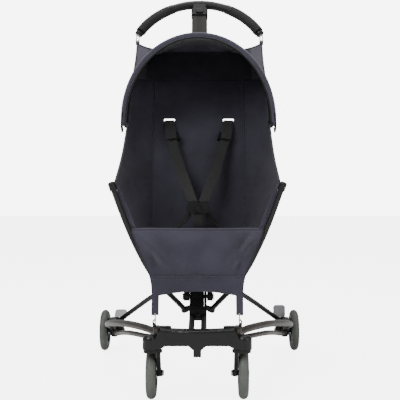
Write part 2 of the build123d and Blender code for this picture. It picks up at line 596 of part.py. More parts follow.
def column_foot():
    """Fork over the hub lug that holds both column tubes and carries the seat arms."""
    inner = LUG_HALF + SIDE_GAP
    crown = extrude(COLUMN * Pos(0, (CROWN_TOP + 16) / 2) * Rectangle(2 * HUB_HALF, CROWN_TOP - 16),
                    amount=11, both=True)
    foot = fillet(crown.edges().filter_by(Axis.X), 4.0)
    crown_low = on_column(0, 24)
    for side in (1, -1):
        x0, x1 = sorted((side * inner, side * HUB_HALF))
        foot += side_plate((crown_low.Y, crown_low.Z), 11.0, (PIVOT.Y, PIVOT.Z), 12.0, x0, x1)
        foot += side_plate((PIVOT.Y, PIVOT.Z), 12.0, (ARM_E.Y, ARM_E.Z + 3), 9.5, x0, x1)
        boss = bar(ARM_E - ARM_OUT * 15, ARM_OUT, 15 - ARM_EYE[1] / 2 - SIDE_GAP, 7.0)
        foot += boss if side > 0 else mirrored(boss)
    foot -= bar((-inner, PIVOT.Y, PIVOT.Z), (1, 0, 0), 2 * inner, 14.2)
    foot -= bar((-60, PIVOT.Y, PIVOT.Z), (1, 0, 0), 120, HUB_PIN / 2 + RUN_GAP)
    for side in (1, -1):
        foot -= bar(on_column(side * TUBE_X, TUBE_SEAT), UP, 80, COLUMN_DIA / 2)
        hole = bar(ARM_E - ARM_OUT * 12, ARM_OUT, 20, ARM_PIN / 2)
        foot -= hole if side > 0 else mirrored(hole)
    return foot


ARM_OUT = ARM_AXIS if ARM_AXIS.X > 0 else ARM_AXIS * -1
ARM_EYE = (16.0, 12.0)
ARM_PIN = 6.0
TUBE_SEAT = 26.0


def column_tubes():
    return group(*[bar(on_column(side * TUBE_X, TUBE_SEAT), UP, COLUMN_TUBE_TOP - TUBE_SEAT,
                       COLUMN_DIA / 2, COLUMN_DIA / 2 - TUBE_WALL) for side in (1, -1)])


def stem_section():
    """Flat extrusion with two tube bores and shallow grooves down both faces."""
    face = RectangleRounded(STEM_WIDTH, STEM_DEPTH, 4.5)
    for side in (1, -1):
        face -= Pos(side * TUBE_X, 0) * Circle(COLUMN_DIA / 2 + SIDE_GAP)
        for across in (-5.5, 0, 5.5):
            face -= Pos(across, side * STEM_DEPTH / 2) * Rectangle(2.6, 3.6)
    return face


def across_column(along):
    """Plane square to the column whose x is across and whose y faces the front."""
    return Plane(origin=on_column(0, along), x_dir=(1, 0, 0), z_dir=UP)


def handle_stem():
    return extrude(across_column(STEM_BOTTOM) * stem_section(), amount=STEM_TOP - STEM_BOTTOM)


def stem_collar():
    """Moulded lock collar round the stem's lower end."""
    outline = RectangleRounded(STEM_WIDTH + 9, STEM_DEPTH + 9, 7.0) - RectangleRounded(STEM_WIDTH, STEM_DEPTH, 4.5)
    return extrude(across_column(STEM_BOTTOM) * outline, amount=34.0)


def tube_guides():
    """Sliding plugs on the column tubes' upper ends, inside the stem."""
    top = COLUMN_TUBE_TOP
    return group(*[bar(on_column(side * TUBE_X, top), UP, 8, COLUMN_DIA / 2) for side in (1, -1)])


# Handle
ARC_CENTRE = HANDLE_TOP - HANDLE_RADIUS


def arc_edge(x0, x1):
    """Part of the handle's arc between two places across it."""
    def place(x):
        return (x, ARC_CENTRE + math.sqrt(HANDLE_RADIUS ** 2 - x * x))
    return COLUMN * ThreePointArc(place(x0), place((x0 + x1) / 2), place(x1))


def sleeve(x0, x1, radius, bore=0.0):
    """Round bar or sleeve along part of the handle's arc."""
    path = arc_edge(x0, x1)
    face = Circle(radius) - Circle(bore) if bore else Circle(radius)
    return sweep(Plane(origin=path @ 0, z_dir=path % 0) * face, path=path)


def stem_head():
    """Fitting that joins the stem to the handle and holds the release button."""
    head = extrude(across_column(STEM_TOP) * RectangleRounded(STEM_WIDTH - 2, STEM_DEPTH + 4, 6.0),
                   amount=HANDLE_TOP - STEM_TOP)
    head += extrude(across_column(STEM_TOP - 24) * Pos(0, 0) *
                    RectangleRounded(STEM_WIDTH + 3, STEM_DEPTH + 7, 5.0), amount=24)
    head -= extrude(across_column(STEM_TOP - 24) * RectangleRounded(STEM_WIDTH, STEM_DEPTH, 4.5), amount=24)
    top = on_column(-60, HANDLE_TOP - 0.6)
    head -= bar(top, (1, 0, 0), 120, CENTRE_GRIP_DIA / 2 + 0.6)
    return head - button_well()


BUTTON = (22.0, 14.0)
BUTTON_ALONG = STEM_TOP - 12.0
BUTTON_TRAVEL = 2.5


def button_well():
    place = Plane(origin=on_column(0, BUTTON_ALONG, STEM_DEPTH / 2), x_dir=(1, 0, 0), z_dir=FRONT)
    return extrude(place * RectangleRounded(BUTTON[0] + 0.6, BUTTON[1] + 0.6, 4.3), amount=30)


def release_button():
    start = STEM_DEPTH / 2 + BUTTON_TRAVEL + 0.3
    place = Plane(origin=on_column(0, BUTTON_ALONG, start), x_dir=(1, 0, 0), z_dir=FRONT)
    button = extrude(place * RectangleRounded(BUTTON[0], BUTTON[1], 4.0), amount=4.5)
    front_edges = button.edges().sort_by(Axis((0, 0, 0), tuple(FRONT)))[-8:]
    return fillet(front_edges, 1.2)


def handle_core():
    return sleeve(-HANDLE_HALF, HANDLE_HALF, HANDLE_CORE / 2)


def centre_grip():
    return sleeve(-CENTRE_GRIP_HALF, CENTRE_GRIP_HALF, CENTRE_GRIP_DIA / 2, HANDLE_CORE / 2)


def grip_collars():
    ring = sleeve(CENTRE_GRIP_HALF + 0.4, COLLAR_HALF, CENTRE_GRIP_DIA / 2 + 1.5, HANDLE_CORE / 2)
    return both(ring)


def side_grips():
    return both(sleeve(COLLAR_HALF + 0.4, HANDLE_HALF - 3, SIDE_GRIP_DIA / 2, HANDLE_CORE / 2))


def end_plugs():
    """Cap on each handle end with a loop under it for the seat's corner."""
    end = arc_edge(0, HANDLE_HALF)
    tip, way = end @ 1, end % 1
    plug = bar(tip, way, 7.0, SIDE_GRIP_DIA / 2 - 2.5)
    return both(fillet(plug.edges().sort_by(Axis(tip, way))[-1], 3.0))


def corner_loops():
    """Wire loop between each handle end and the top corner of the seat."""
    end = arc_edge(0, HANDLE_HALF)
    tip = end @ 1 + (end % 1) * 7.3
    drop = Vector(0, 0, -1)
    place = Plane(origin=tip + drop * 10 + Vector(1.5, 0, 0), x_dir=(0, 0, 1), z_dir=(0, 1, 0))
    ring = extrude(place * (SlotOverall(24, 10) - SlotOverall(18, 4)), amount=1.5, both=True)
    return both(ring)


# Seat arms, for +X
def arm_points():
    return [ARM_E] + [Vector(x, PIVOT_Y + y, PIVOT.Z + z) for x, y, z in ARM_PATH]


def seat_arm():
    points = arm_points()
    body = rod([tuple(p) for p in points], ARM_DIA / 2)
    base = ARM_E - ARM_OUT * (ARM_EYE[1] / 2)
    body -= bar(base - ARM_OUT * 20, ARM_OUT, 20, 15)
    body -= bar(base + ARM_OUT * ARM_EYE[1], ARM_OUT, 6, 8.2)
    body += bar(base, ARM_OUT, ARM_EYE[1], ARM_EYE[0] / 2)
    return body - bar(base - ARM_OUT, ARM_OUT, ARM_EYE[1] + 2, ARM_PIN / 2 + RUN_GAP)


def arm_tip():
    """Rounded end cap with the eye that the seat's side corner hangs on."""
    points = arm_points()
    way = (points[-1] - points[-2]).normalized()
    cap = bar(points[-1] - way * 16, way, 20, ARM_DIA / 2 + 2.2)
    cap = fillet(cap.edges().sort_by(Axis(points[-1], way))[-1], 4.0)
    return cap - bar(points[-1] - way * 17, way, 17, ARM_DIA / 2)


def arm_pins():
    pin = bar(ARM_E - ARM_OUT * 12, ARM_OUT, 12 + ARM_EYE[1] / 2 + SIDE_GAP, ARM_PIN / 2)
    pin += bar(ARM_E + ARM_OUT * (ARM_EYE[1] / 2 + SIDE_GAP), ARM_OUT, 2.5, ARM_PIN / 2 + 3)
    return both(pin)


# Seat cloth
def column_y(z):
    return PIVOT_Y + (z - PIVOT.Z) * math.tan(math.radians(LEAN))


# Height, gap from the column's axis, outer edge of the side wing as (x, y)
SEAT_STATIONS = [(PAN_TOP + SEAT_GAP, 52.0, (PAN_HALF, PAN_FRONT + 3)), (507.0, 50.0, (188.0, -277.0)),
                 (570.0, 48.0, (186.0, -150.0)), (650.0, 44.0, (184.0, -25.0)),
                 (790.0, 40.0, (182.0, 105.0)), (893.0, 34.0, (185.0, 238.0))]


def wing_section(station):
    """Level outline of the back panel and both wings, the cloth's thickness on its outer side."""
    z, gap, edge = station
    corner = Vector(SEAM_HALF, column_y(z) - gap)
    way = (Vector(*edge) - corner).normalized()
    wing_out = Vector(-way.Y, way.X)
    back_out = Vector(0, 1)
    mitre = (wing_out + back_out) / (1 + wing_out.dot(back_out))
    right = [Vector(*edge), corner]
    back = [corner + mitre * CLOTH, Vector(*edge) + wing_out * CLOTH]
    inner = [(p.X, p.Y) for p in right] + [(-p.X, p.Y) for p in right[::-1]]
    outer = [(-p.X, p.Y) for p in back[::-1]] + [(p.X, p.Y) for p in back]
    return Plane.XY.offset(z) * make_face(Polyline(*inner, *outer, close=True))


def seat_back():
    """Hanging back panel with its two side wings, closed at the arm tips and the handle ends."""
    sections = [wing_section(station) for station in SEAT_STATIONS]
    cloth = loft(sections[:2], ruled=True)
    for lower, upper in zip(sections[1:], sections[2:]):
        cloth += loft([lower, upper], ruled=True)
    for side in (1, -1):
        cloth -= slot_cut(side)
    return cloth


SLOT_PLACE = (81.0, 668.0)


def slot_cut(side):
    """Slot in the back panel that a shoulder strap comes through."""
    x, z = SLOT_PLACE
    return slab(side * x - 16, side * x + 16, column_y(z) - 60, column_y(z) - 20, z - 2.5, z + 2.5)


def seat_pan():
    back = column_y(PAN_Z) - 52.0
    outline = Polyline((-SEAM_HALF, back), (-PAN_HALF - CLOTH, PAN_FRONT), (PAN_HALF + CLOTH, PAN_FRONT),
                       (SEAM_HALF, back), close=True)
    return extrude(Plane.XY.offset(PAN_Z) * make_face(outline), amount=CLOTH)


def calf_panel():
    """Panel from the seat's front edge down to two straps."""
    def section(z, half, y):
        return Plane.XY.offset(z) * Pos(0, y) * Rectangle(2 * half, CLOTH)
    levels = [(PAN_TOP, PAN_HALF + 1, PAN_FRONT - 2), (CAP_Z + 165.5, CALF_HALF + 8, PAN_FRONT - 8),
              (CALF_BOTTOM, CALF_HALF, PAN_FRONT - 14)]
    panel = loft([section(*level) for level in levels[:2]], ruled=True)
    panel += loft([section(*level) for level in levels[1:]], ruled=True)
    strap_x = RAIL_PIVOT[0] + 5.0
    for side in (1, -1):
        low = Pos(side * strap_x, RAIL_PIVOT[1], STRAP_END) * Rectangle(STRAP_WIDTH, CLOTH)
        high = Pos(side * (strap_x - 3), PAN_FRONT - 14, CALF_BOTTOM) * Rectangle(STRAP_WIDTH + 4, CLOTH)
        panel += loft([low, high], ruled=True)
    return panel


STRAP_END = SLOT_Z[1] + EAR + 28.0


def strap_hooks():
    """Closed hook between each calf strap and its eye on the beam."""
    x = RAIL_PIVOT[0] + 5.0
    low = SLOT_Z[1] + EAR + 10
    place = Plane(origin=(x, RAIL_PIVOT[1], (low + STRAP_END) / 2), x_dir=(0, 0, 1), z_dir=(1, 0, 0))
    length = STRAP_END - low + 5.0
    hook = extrude(place * (SlotOverall(length, 11) - SlotOverall(length - 5.2, 5.8)), amount=1.3, both=True)
    return both(hook)


# Harness
def band(start, finish, width, thick, normal):
    """Flat strap between two points, its face square to normal."""
    along = (finish - start).normalized()
    across = along.cross(normal).normalized()
    face = Plane(origin=start, x_dir=across, z_dir=along) * Rectangle(width, thick)
    return extrude(face, amount=(finish - start).length)


def slot_point():
    x, z = SLOT_PLACE
    return Vector(x, column_y(z) - 44.0 - 2.5, z - 1.0)


BUCKLE_SIZE = (56.0, 14.0, 26.0)


def buckle_ends():
    top = Vector(BUCKLE[0] + 11, BUCKLE[1] + 3, BUCKLE[2] + BUCKLE_SIZE[2] / 2 + 0.3)
    return top


def shoulder_straps():
    start, finish = slot_point(), buckle_ends()
    return both(band(start, finish, 22.0, 2.0, Vector(0, -1, 0.6)))


def strap_adjusters():
    start, finish = slot_point(), buckle_ends()
    way = (finish - start).normalized()
    middle = start + way * 58
    outer = band(middle - way * 13, middle + way * 13, 30.0, 7.0, Vector(0, -1, 0.6))
    hole = band(middle - way * 20, middle + way * 20, 22.2, 2.2, Vector(0, -1, 0.6))
    return both(outer - hole)


def shoulder_pads():
    start, finish = slot_point(), buckle_ends()
    way = (finish - start).normalized()
    pad = band(start + way * 2, start + way * 43, 28.0, 6.0, Vector(0, -1, 0.6))
    hole = band(start - way, start + way * 60, 22.2, 2.2, Vector(0, -1, 0.6))
    return both(pad - hole)


def harness_buckle():
    x, y, z = BUCKLE
    body = Pos(x, y, z) * Box(*BUCKLE_SIZE)
    body = fillet(body.edges().filter_by(Axis.Y), 6.0)
    well = Pos(x, y - BUCKLE_SIZE[1] / 2, z) * Rot(90, 0, 0) * Cylinder(8.3, 9.0)
    return body - well


def buckle_button():
    x, y, z = BUCKLE
    return bar((x, y - BUCKLE_SIZE[1] / 2 - 1.2, z), (0, 1, 0), 3.2, 8.0)


def crotch_strap():
    x, y, z = BUCKLE
    top = Vector(x, y, z - BUCKLE_SIZE[2] / 2 - 0.3)
    return band(Vector(x, y - 6, PAN_TOP + 0.6), top, WEBBING, 2.2, Vector(0, -1, 0))


def lap_straps():
    x, y, z = BUCKLE
    start = Vector(x + 24, y + 2, z - BUCKLE_SIZE[2] / 2 - 1.5)
    return both(band(start, Vector(58, y + 38, PAN_TOP + 3.0), 20.0, 2.0, Vector(0, -1, 0.6)))


# Canopy
def canopy_plane(tilt):
    """Plane through the canopy's side pivots, leaning forward by tilt."""
    angle = math.radians(tilt)
    return Plane(origin=(0, CANOPY_PIVOT[1], CANOPY_PIVOT[2]), x_dir=(1, 0, 0),
                 z_dir=(0, -math.cos(angle), -math.sin(angle)))


def half_ellipse(across, rise):
    """Points over a half ellipse from +X to -X."""
    turns = [math.pi * step / HOOD_STEPS for step in range(HOOD_STEPS + 1)]
    return [(across * math.cos(turn), rise * math.sin(turn)) for turn in turns]


def half_ring(across, rise, thick):
    """Half ellipse band, flat side down."""
    inner = half_ellipse(across - thick, rise - thick)[::-1]
    return make_face(Polyline(*half_ellipse(across, rise), *inner, close=True))


HOOD_STEPS = 14
# Behind the bow: half width, y, z of the edge and rise of the hood above it
HOOD_BACK = [(200.0, 60.0, 680.0, 236.0), (200.0, 140.0, 800.0, 118.0)]


def canopy_fabric():
    """Thin hood from the front bow back over the seat's head end."""
    sections = [canopy_plane(CANOPY_TILT) * half_ring(CANOPY_PIVOT[0], CANOPY_RISE + 4, CLOTH)]
    for across, y, z, rise in HOOD_BACK:
        place = Plane(origin=(0, y, z), x_dir=(1, 0, 0), z_dir=(0, -1, 0))
        sections.append(place * half_ring(across, rise, CLOTH))
    return loft(sections[:2], ruled=True) + loft(sections[1:], ruled=True)


def canopy_bow():
    """Springy hoop under the hood's front edge with an eye at each side."""
    half = CANOPY_PIVOT[0] - CLOTH - SEAT_GAP - CANOPY_BOW_DIA / 2 - 1.0
    rise = CANOPY_RISE + 4 - CLOTH - SEAT_GAP - CANOPY_BOW_DIA / 2 - 3.0
    place = canopy_plane(CANOPY_TILT)
    points = [place.from_local_coords(Vector(x, y, 0)) for x, y in half_ellipse(half, rise)]
    hoop = rod([tuple(p) for p in points], CANOPY_BOW_DIA / 2)
    y, z = CANOPY_PIVOT[1], CANOPY_PIVOT[2]
    eye = bar((half - CANOPY_BOW_DIA / 2, y, z), (1, 0, 0), CANOPY_BOW_DIA, 9.0)
    hole = bar((half - 10, y, z), (1, 0, 0), 20, 3.0 + RUN_GAP)
    return hoop + eye + mirrored(eye) - hole - mirrored(hole)


def canopy_clips():
    """Plate on each wing edge with the stud that the bow turns on."""
    half = CANOPY_PIVOT[0] - CLOTH - SEAT_GAP - CANOPY_BOW_DIA - 1.0
    y, z = CANOPY_PIVOT[1], CANOPY_PIVOT[2]
    plate = side_plate((y, z), 9.0, (y - 4, z - 18), 7.0, half - 4.3, half - 1.3)
    plate += bar((half - 2, y, z), (1, 0, 0), CANOPY_BOW_DIA + 2, 3.0)
    return both(plate)


def moved_wheel(shape, x, y):
    return Pos(x, y, AXLE_Z) * shape


def pairs(name, shape):
    """Two nodes from a piece made for +X."""
    return {f"{name}_right": shape, f"{name}_left": mirrored(shape)}


def all_nodes():
    nodes = {"front_beam": front_beam(), "chassis_pins": group(front_pins(), hub_pin()),
             "keel_tubes": keel_tubes(), "caster_bushes": both(caster_bush()),
             "hub_block": group(hub_block(), both(leg_knuckle())), "fold_latch_button": fold_latch()}
    nodes |= pairs("caster_fork", caster_fork())
    nodes |= pairs("caster_axle", caster_axle())
    for place, x, y in (("front", SWIVEL_X, CASTER_AXLE.Y), ("rear", REAR_X, REAR_Y)):
        nodes |= pairs(f"{place}_tyre", moved_wheel(tyre(), x, y))
        nodes |= pairs(f"{place}_wheel_core", moved_wheel(wheel_core(), x, y))
        nodes |= pairs(f"{place}_bearings", moved_wheel(bearings(), x, y))
    nodes |= pairs("side_rail", side_rail())
    nodes |= pairs("lower_link", lower_link())
    nodes |= pairs("rear_bracket", rear_bracket())
    nodes |= pairs("rear_axle_and_pins", group(rear_axle(), unit_pins()))
    nodes |= pairs("rear_leg", rear_leg())
    nodes |= {"brake_pedal_right": brake_pedal(PEDAL_UP), "brake_pedal_left": mirrored(brake_pedal(PEDAL_DOWN))}
    nodes |= {"column_foot": column_foot(), "column_tubes": group(column_tubes(), tube_guides()),
              "arm_pins": arm_pins(), "handle_stem": handle_stem(),
              "stem_fittings": group(stem_collar(), stem_head()), "release_button": release_button(),
              "handle_core": handle_core(), "centre_grip": centre_grip(), "side_grips": side_grips(),
              "handle_caps": group(grip_collars(), end_plugs()), "corner_loops": corner_loops()}
    nodes |= pairs("seat_arm", seat_arm())
    nodes |= pairs("arm_tip", arm_tip())
    nodes |= {"seat_back": seat_back(), "seat_pan": seat_pan(), "calf_panel": calf_panel(),
              "strap_hooks": strap_hooks(), "strap_adjusters": strap_adjusters(),
              "harness_straps": group(shoulder_straps(), shoulder_pads(), crotch_strap(), lap_straps()),
              "harness_buckle": harness_buckle(),
              "buckle_button": buckle_button(), "canopy_fabric": canopy_fabric(),
              "canopy_bow": canopy_bow(), "canopy_clips": canopy_clips()}
    return nodes


if __name__ == "__main__":
    os.makedirs("parts", exist_ok=True)
    for node, solid in all_nodes().items():
        export_step(solid, f"parts/{node}.step")
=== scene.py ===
import math

import bmesh
import bpy
from mathutils import Matrix, Vector


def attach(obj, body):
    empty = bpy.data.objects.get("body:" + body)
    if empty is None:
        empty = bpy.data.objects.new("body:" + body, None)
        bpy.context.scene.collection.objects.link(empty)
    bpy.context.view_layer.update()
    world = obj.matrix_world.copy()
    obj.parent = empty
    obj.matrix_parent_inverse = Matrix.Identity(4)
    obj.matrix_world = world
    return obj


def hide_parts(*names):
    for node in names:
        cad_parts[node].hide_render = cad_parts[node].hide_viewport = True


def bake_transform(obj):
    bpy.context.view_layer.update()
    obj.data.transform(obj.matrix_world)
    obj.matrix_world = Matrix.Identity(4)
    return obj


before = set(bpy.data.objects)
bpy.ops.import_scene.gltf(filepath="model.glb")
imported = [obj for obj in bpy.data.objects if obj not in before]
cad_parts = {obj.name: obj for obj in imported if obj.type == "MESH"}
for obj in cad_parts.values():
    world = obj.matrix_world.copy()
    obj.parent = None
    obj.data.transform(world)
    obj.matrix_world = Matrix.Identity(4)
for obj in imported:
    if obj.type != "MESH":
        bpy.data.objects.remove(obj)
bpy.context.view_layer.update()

MM = 0.001
# The column leans back by this much, and its seat face looks along FRONT
LEAN = math.radians(25.4)
FRONT = Vector((0, -math.cos(LEAN), math.sin(LEAN)))
# Cloth as sewn: shell cloth, its doubled hems, piping, webbing and thread
CLOTH = 1.6 * MM
HEM = 2.6 * MM
PIPING = 2.2 * MM
WEBBING_WIDTH = 25 * MM
WEBBING_THICK = 1.6 * MM
STITCH_PITCH = 5.0 * MM
STITCH_LENGTH = 3.4 * MM
STITCH_RADIUS = 0.45 * MM
SIDES = ((1, "right"), (-1, "left"))


# ---------------------------------------------------------------- materials

def srgb(code):
    """Hex colour to the linear values that shaders take."""
    parts = [int(code[i:i + 2], 16) / 255 for i in (1, 3, 5)]
    return [c / 12.92 if c <= 0.04045 else ((c + 0.055) / 1.055) ** 2.4 for c in parts] + [1.0]


def node(tree, kind, settings=(), links=()):
    """Add a node, set its values or sockets by name, and link other sockets into it."""
    made = tree.nodes.new(kind)
    for key, value in dict(settings).items():
        if isinstance(key, str) and hasattr(made, key):
            setattr(made, key, value)
        else:
            made.inputs[key].default_value = value
    for key, source in dict(links).items():
        tree.links.new(source, made.inputs[key])
    return made


def finish_material(name, colour, roughness, metallic=0.0, **sockets):
    """A material with one shader, returned with its tree and that shader."""
    material = bpy.data.materials.new(name)
    material.use_nodes = True
    tree = material.node_tree
    shader = tree.nodes["Principled BSDF"]
    shader.inputs["Base Color"].default_value = srgb(colour)
    shader.inputs["Roughness"].default_value = roughness
    shader.inputs["Metallic"].default_value = metallic
    for key, value in sockets.items():
        shader.inputs[key.replace("_", " ")].default_value = value
    return material, tree, shader


def mottle(tree, where, dark, light, scale, detail=6.0):
    """Two close shades mixed by soft noise."""
    noise = node(tree, "ShaderNodeTexNoise", {"Scale": scale, "Detail": detail, "Roughness": 0.6},
                 {"Vector": where})
    ramp = node(tree, "ShaderNodeValToRGB", {}, {"Fac": noise.outputs["Fac"]})
    ramp.color_ramp.elements[0].position = 0.35
    ramp.color_ramp.elements[1].position = 0.68
    ramp.color_ramp.elements[0].color = srgb(dark)
    ramp.color_ramp.elements[1].color = srgb(light)
    return ramp.outputs["Color"]


def woven_cloth(name, dark, light, thread, depth, roughness=0.86, sheen=0.25):
    """Plain weave: warp and weft ribs crossing, painted shade in the hollows between them, faint slubs in the
    colour, and a soft sheen of fibre ends.
    """
    material, tree, shader = finish_material(name, light, roughness)
    shader.inputs["Sheen Weight"].default_value = sheen
    shader.inputs["Sheen Roughness"].default_value = 0.55
    shader.inputs["Specular IOR Level"].default_value = 0.35
    flat = node(tree, "ShaderNodeTexCoord").outputs["UV"]
    solid = node(tree, "ShaderNodeTexCoord").outputs["Object"]
    ribs = []
    for direction in ("X", "Y"):
        wave = node(tree, "ShaderNodeTexWave",
                    {"wave_type": "BANDS", "bands_direction": direction, "Scale": 0.314 / thread,
                     "Distortion": 0.35, "Detail": 1.5, "Detail Scale": 1.4}, {"Vector": flat})
        ribs.append(wave.outputs["Fac"])
    weave = node(tree, "ShaderNodeMath", {"operation": "MAXIMUM"}, {0: ribs[0], 1: ribs[1]})
    shades = mottle(tree, solid, dark, light, 9.0)
    slub = node(tree, "ShaderNodeTexNoise", {"Scale": 260.0, "Detail": 3.0}, {"Vector": flat})
    tint = node(tree, "ShaderNodeMapRange", {"To Min": 0.86, "To Max": 1.1}, {"Value": slub.outputs["Fac"]})
    # Painted shade: the colour darkens in the hollows between the ribs and lightens on their tops
    rib_painted_shade = node(tree, "ShaderNodeMapRange", {"To Min": 0.90, "To Max": 1.04},
                    {"Value": weave.outputs[0]})
    both = node(tree, "ShaderNodeMath", {"operation": "MULTIPLY"},
                {0: tint.outputs[0], 1: rib_painted_shade.outputs[0]})
    mixed = node(tree, "ShaderNodeVectorMath", {"operation": "SCALE"}, {0: shades, "Scale": both.outputs[0]})
    tree.links.new(mixed.outputs[0], shader.inputs["Base Color"])
    bump = node(tree, "ShaderNodeBump", {"Strength": 0.35, "Distance": depth}, {"Height": weave.outputs[0]})
    tree.links.new(bump.outputs[0], shader.inputs["Normal"])
    return material


def coated_tube(name, dark, light, roughness, metallic, grain=900.0, strength=0.12):
    """Powder coat: fine orange-peel bump over a metallic base, with duller patches from handling."""
    material, tree, shader = finish_material(name, light, roughness, metallic)
    solid = node(tree, "ShaderNodeTexCoord").outputs["Object"]
    tree.links.new(mottle(tree, solid, dark, light, 18.0), shader.inputs["Base Color"])
    peel = node(tree, "ShaderNodeTexNoise", {"Scale": grain, "Detail": 2.0}, {"Vector": solid})
    wear = node(tree, "ShaderNodeTexNoise", {"Scale": 35.0, "Detail": 5.0}, {"Vector": solid})
    rough = node(tree, "ShaderNodeMapRange", {"To Min": roughness - 0.07, "To Max": roughness + 0.10},
                 {"Value": wear.outputs["Fac"]})
    bump = node(tree, "ShaderNodeBump", {"Strength": strength, "Distance": 0.0004},
                {"Height": peel.outputs["Fac"]})
    tree.links.new(rough.outputs[0], shader.inputs["Roughness"])
    tree.links.new(bump.outputs[0], shader.inputs["Normal"])
    return material


def moulded(name, dark, light, roughness, grain=1400.0, strength=0.18, coat=0.0):
    """Injection-moulded plastic: spark-eroded grain, slight shade drift, scuffed roughness."""
    material = coated_tube(name, dark, light, roughness, 0.0, grain, strength)
    shader = material.node_tree.nodes["Principled BSDF"]
    shader.inputs["IOR"].default_value = 1.5
    shader.inputs["Specular IOR Level"].default_value = 0.32
    shader.inputs["Coat Weight"].default_value = coat
    shader.inputs["Coat Roughness"].default_value = 0.25
    return material


def bare_metal(name, dark, light, roughness, along=(1, 1, 30)):
    """Drawn or turned metal: fine streaks across the part that stretch its highlights."""
    material, tree, shader = finish_material(name, light, roughness, 1.0)
    solid = node(tree, "ShaderNodeTexCoord").outputs["Object"]
    stretched = node(tree, "ShaderNodeMapping", {"Scale": along}, {"Vector": solid})
    tree.links.new(mottle(tree, stretched.outputs[0], dark, light, 60.0), shader.inputs["Base Color"])
    streak = node(tree, "ShaderNodeTexNoise", {"Scale": 220.0, "Detail": 4.0},
                  {"Vector": stretched.outputs[0]})
    rough = node(tree, "ShaderNodeMapRange", {"To Min": roughness - 0.06, "To Max": roughness + 0.12},
                 {"Value": streak.outputs["Fac"]})
    tree.links.new(rough.outputs[0], shader.inputs["Roughness"])
    return material


# Polyester shell cloth, slate with a violet cast. Real threads are 0.4 mm and are drawn at 1.5 mm to show
shell_cloth = woven_cloth("slate_woven_polyester", "#272432", "#322f3f", 1.5 * MM, 0.0005)
# The same cloth on the hood, painted a shade greyer as painted light where it faces the sky
hood_cloth_painted_lighter = woven_cloth("hood_polyester_painted_lighter", "#2a2835", "#363346", 1.5 * MM, 0.0005, sheen=0.35)
# The seat's lining, darker and denser
lining_cloth = woven_cloth("dark_woven_lining", "#24222c", "#302e3a", 1.5 * MM, 0.0005, sheen=0.04)
# Binding tape on cut edges: a fine twill, darker than the cloth
binding_tape = woven_cloth("folded_binding_tape", "#191820", "#22202a", 1.1 * MM, 0.0004, sheen=0.15)
# Nylon webbing: coarse ribs across the band
webbing_nylon = woven_cloth("ribbed_nylon_webbing", "#0a0a0a", "#121213", 2.4 * MM, 0.0009, 0.7, 0.1)
stitch_thread = woven_cloth("bonded_sewing_thread", "#34323f", "#413e4e", 0.8 * MM, 0.0003, 0.6, 0.2)
# Extruded aluminium with a black-brown satin powder coat
frame_coat = coated_tube("black_brown_powder_coat", "#100d0c", "#181412", 0.4, 0.3)
# The side rails' warm grey metallic coat: flakes lift it under the light
rail_coat = coated_tube("warm_grey_metallic_coat", "#3f3a37", "#524c48", 0.32, 0.8, 1200.0, 0.10)
# Glass-filled nylon castings, satin black
beam_nylon = moulded("satin_black_glass_nylon", "#050505", "#0a0a0a", 0.3, coat=0.1)
fork_nylon = moulded("matte_black_nylon", "#0a0a0a", "#101010", 0.45)
trim_nylon = moulded("black_moulded_trim", "#090909", "#0f0f10", 0.4)
# Cast polyurethane tread, grey with a green cast, dulled where it rolls
grey_tread = moulded("cast_grey_polyurethane", "#4a4d49", "#5b5e59", 0.5, 700.0, 0.25)
wheel_nylon = moulded("black_wheel_nylon", "#0e0e0e", "#161616", 0.42)
# Light grey ABS pedals with a soft gloss
pedal_abs = moulded("light_grey_abs", "#828284", "#939395", 0.34, coat=0.1)
# Closed-cell foam grips: open pores at the skin
grip_foam = moulded("black_closed_cell_foam", "#191718", "#242223", 0.78, 420.0, 0.6)
grip_cover = moulded("soft_touch_grip_cover", "#131212", "#1c1b1b", 0.45, 900.0, 0.25)
zinc_steel = bare_metal("zinc_plated_steel", "#8f9093", "#b3b4b6", 0.32)
ground_steel = bare_metal("ground_bearing_steel", "#9a9b9d", "#c2c3c5", 0.25, (30, 1, 1))
oiled_bronze = bare_metal("sintered_bronze", "#7d6238", "#9c7f4f", 0.45)
bright_wire = bare_metal("bright_drawn_wire", "#a9a29a", "#d2ccc4", 0.22)

FINISHES = {
    "front_beam": beam_nylon, "chassis_pins": zinc_steel, "keel_tubes": frame_coat,
    "caster_bushes": oiled_bronze, "hub_block": fork_nylon, "fold_latch_button": trim_nylon,
    "column_foot": fork_nylon, "column_tubes": frame_coat, "arm_pins": zinc_steel,
    "handle_stem": frame_coat, "stem_fittings": trim_nylon, "release_button": trim_nylon,
    "handle_core": frame_coat, "centre_grip": grip_cover, "side_grips": grip_foam,
    "handle_caps": trim_nylon, "corner_loops": bright_wire, "strap_hooks": bright_wire,
    "strap_adjusters": trim_nylon, "harness_buckle": trim_nylon, "buckle_button": trim_nylon,
    "canopy_bow": trim_nylon, "canopy_clips": trim_nylon,
}
SIDE_FINISHES = {
    "caster_fork": fork_nylon, "caster_axle": zinc_steel, "front_tyre": grey_tread,
    "front_wheel_core": wheel_nylon, "front_bearings": ground_steel, "rear_tyre": grey_tread,
    "rear_wheel_core": wheel_nylon, "rear_bearings": ground_steel, "side_rail": rail_coat,
    "lower_link": rail_coat, "rear_bracket": fork_nylon, "rear_axle_and_pins": zinc_steel,
    "rear_leg": frame_coat, "brake_pedal": pedal_abs, "seat_arm": frame_coat, "arm_tip": trim_nylon,
}
for side in ("right", "left"):
    for part, material in SIDE_FINISHES.items():
        FINISHES[f"{part}_{side}"] = material
for part, material in FINISHES.items():
    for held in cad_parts[part].material_slots:
        held.material = material


# ---------------------------------------------------------------- mesh tools

def at(*place):
    """Millimetres to a point in metres."""
    return Vector(place) * MM


def flipped(point):
    """The same point on the other side."""
    return Vector((-point.x, point.y, point.z))


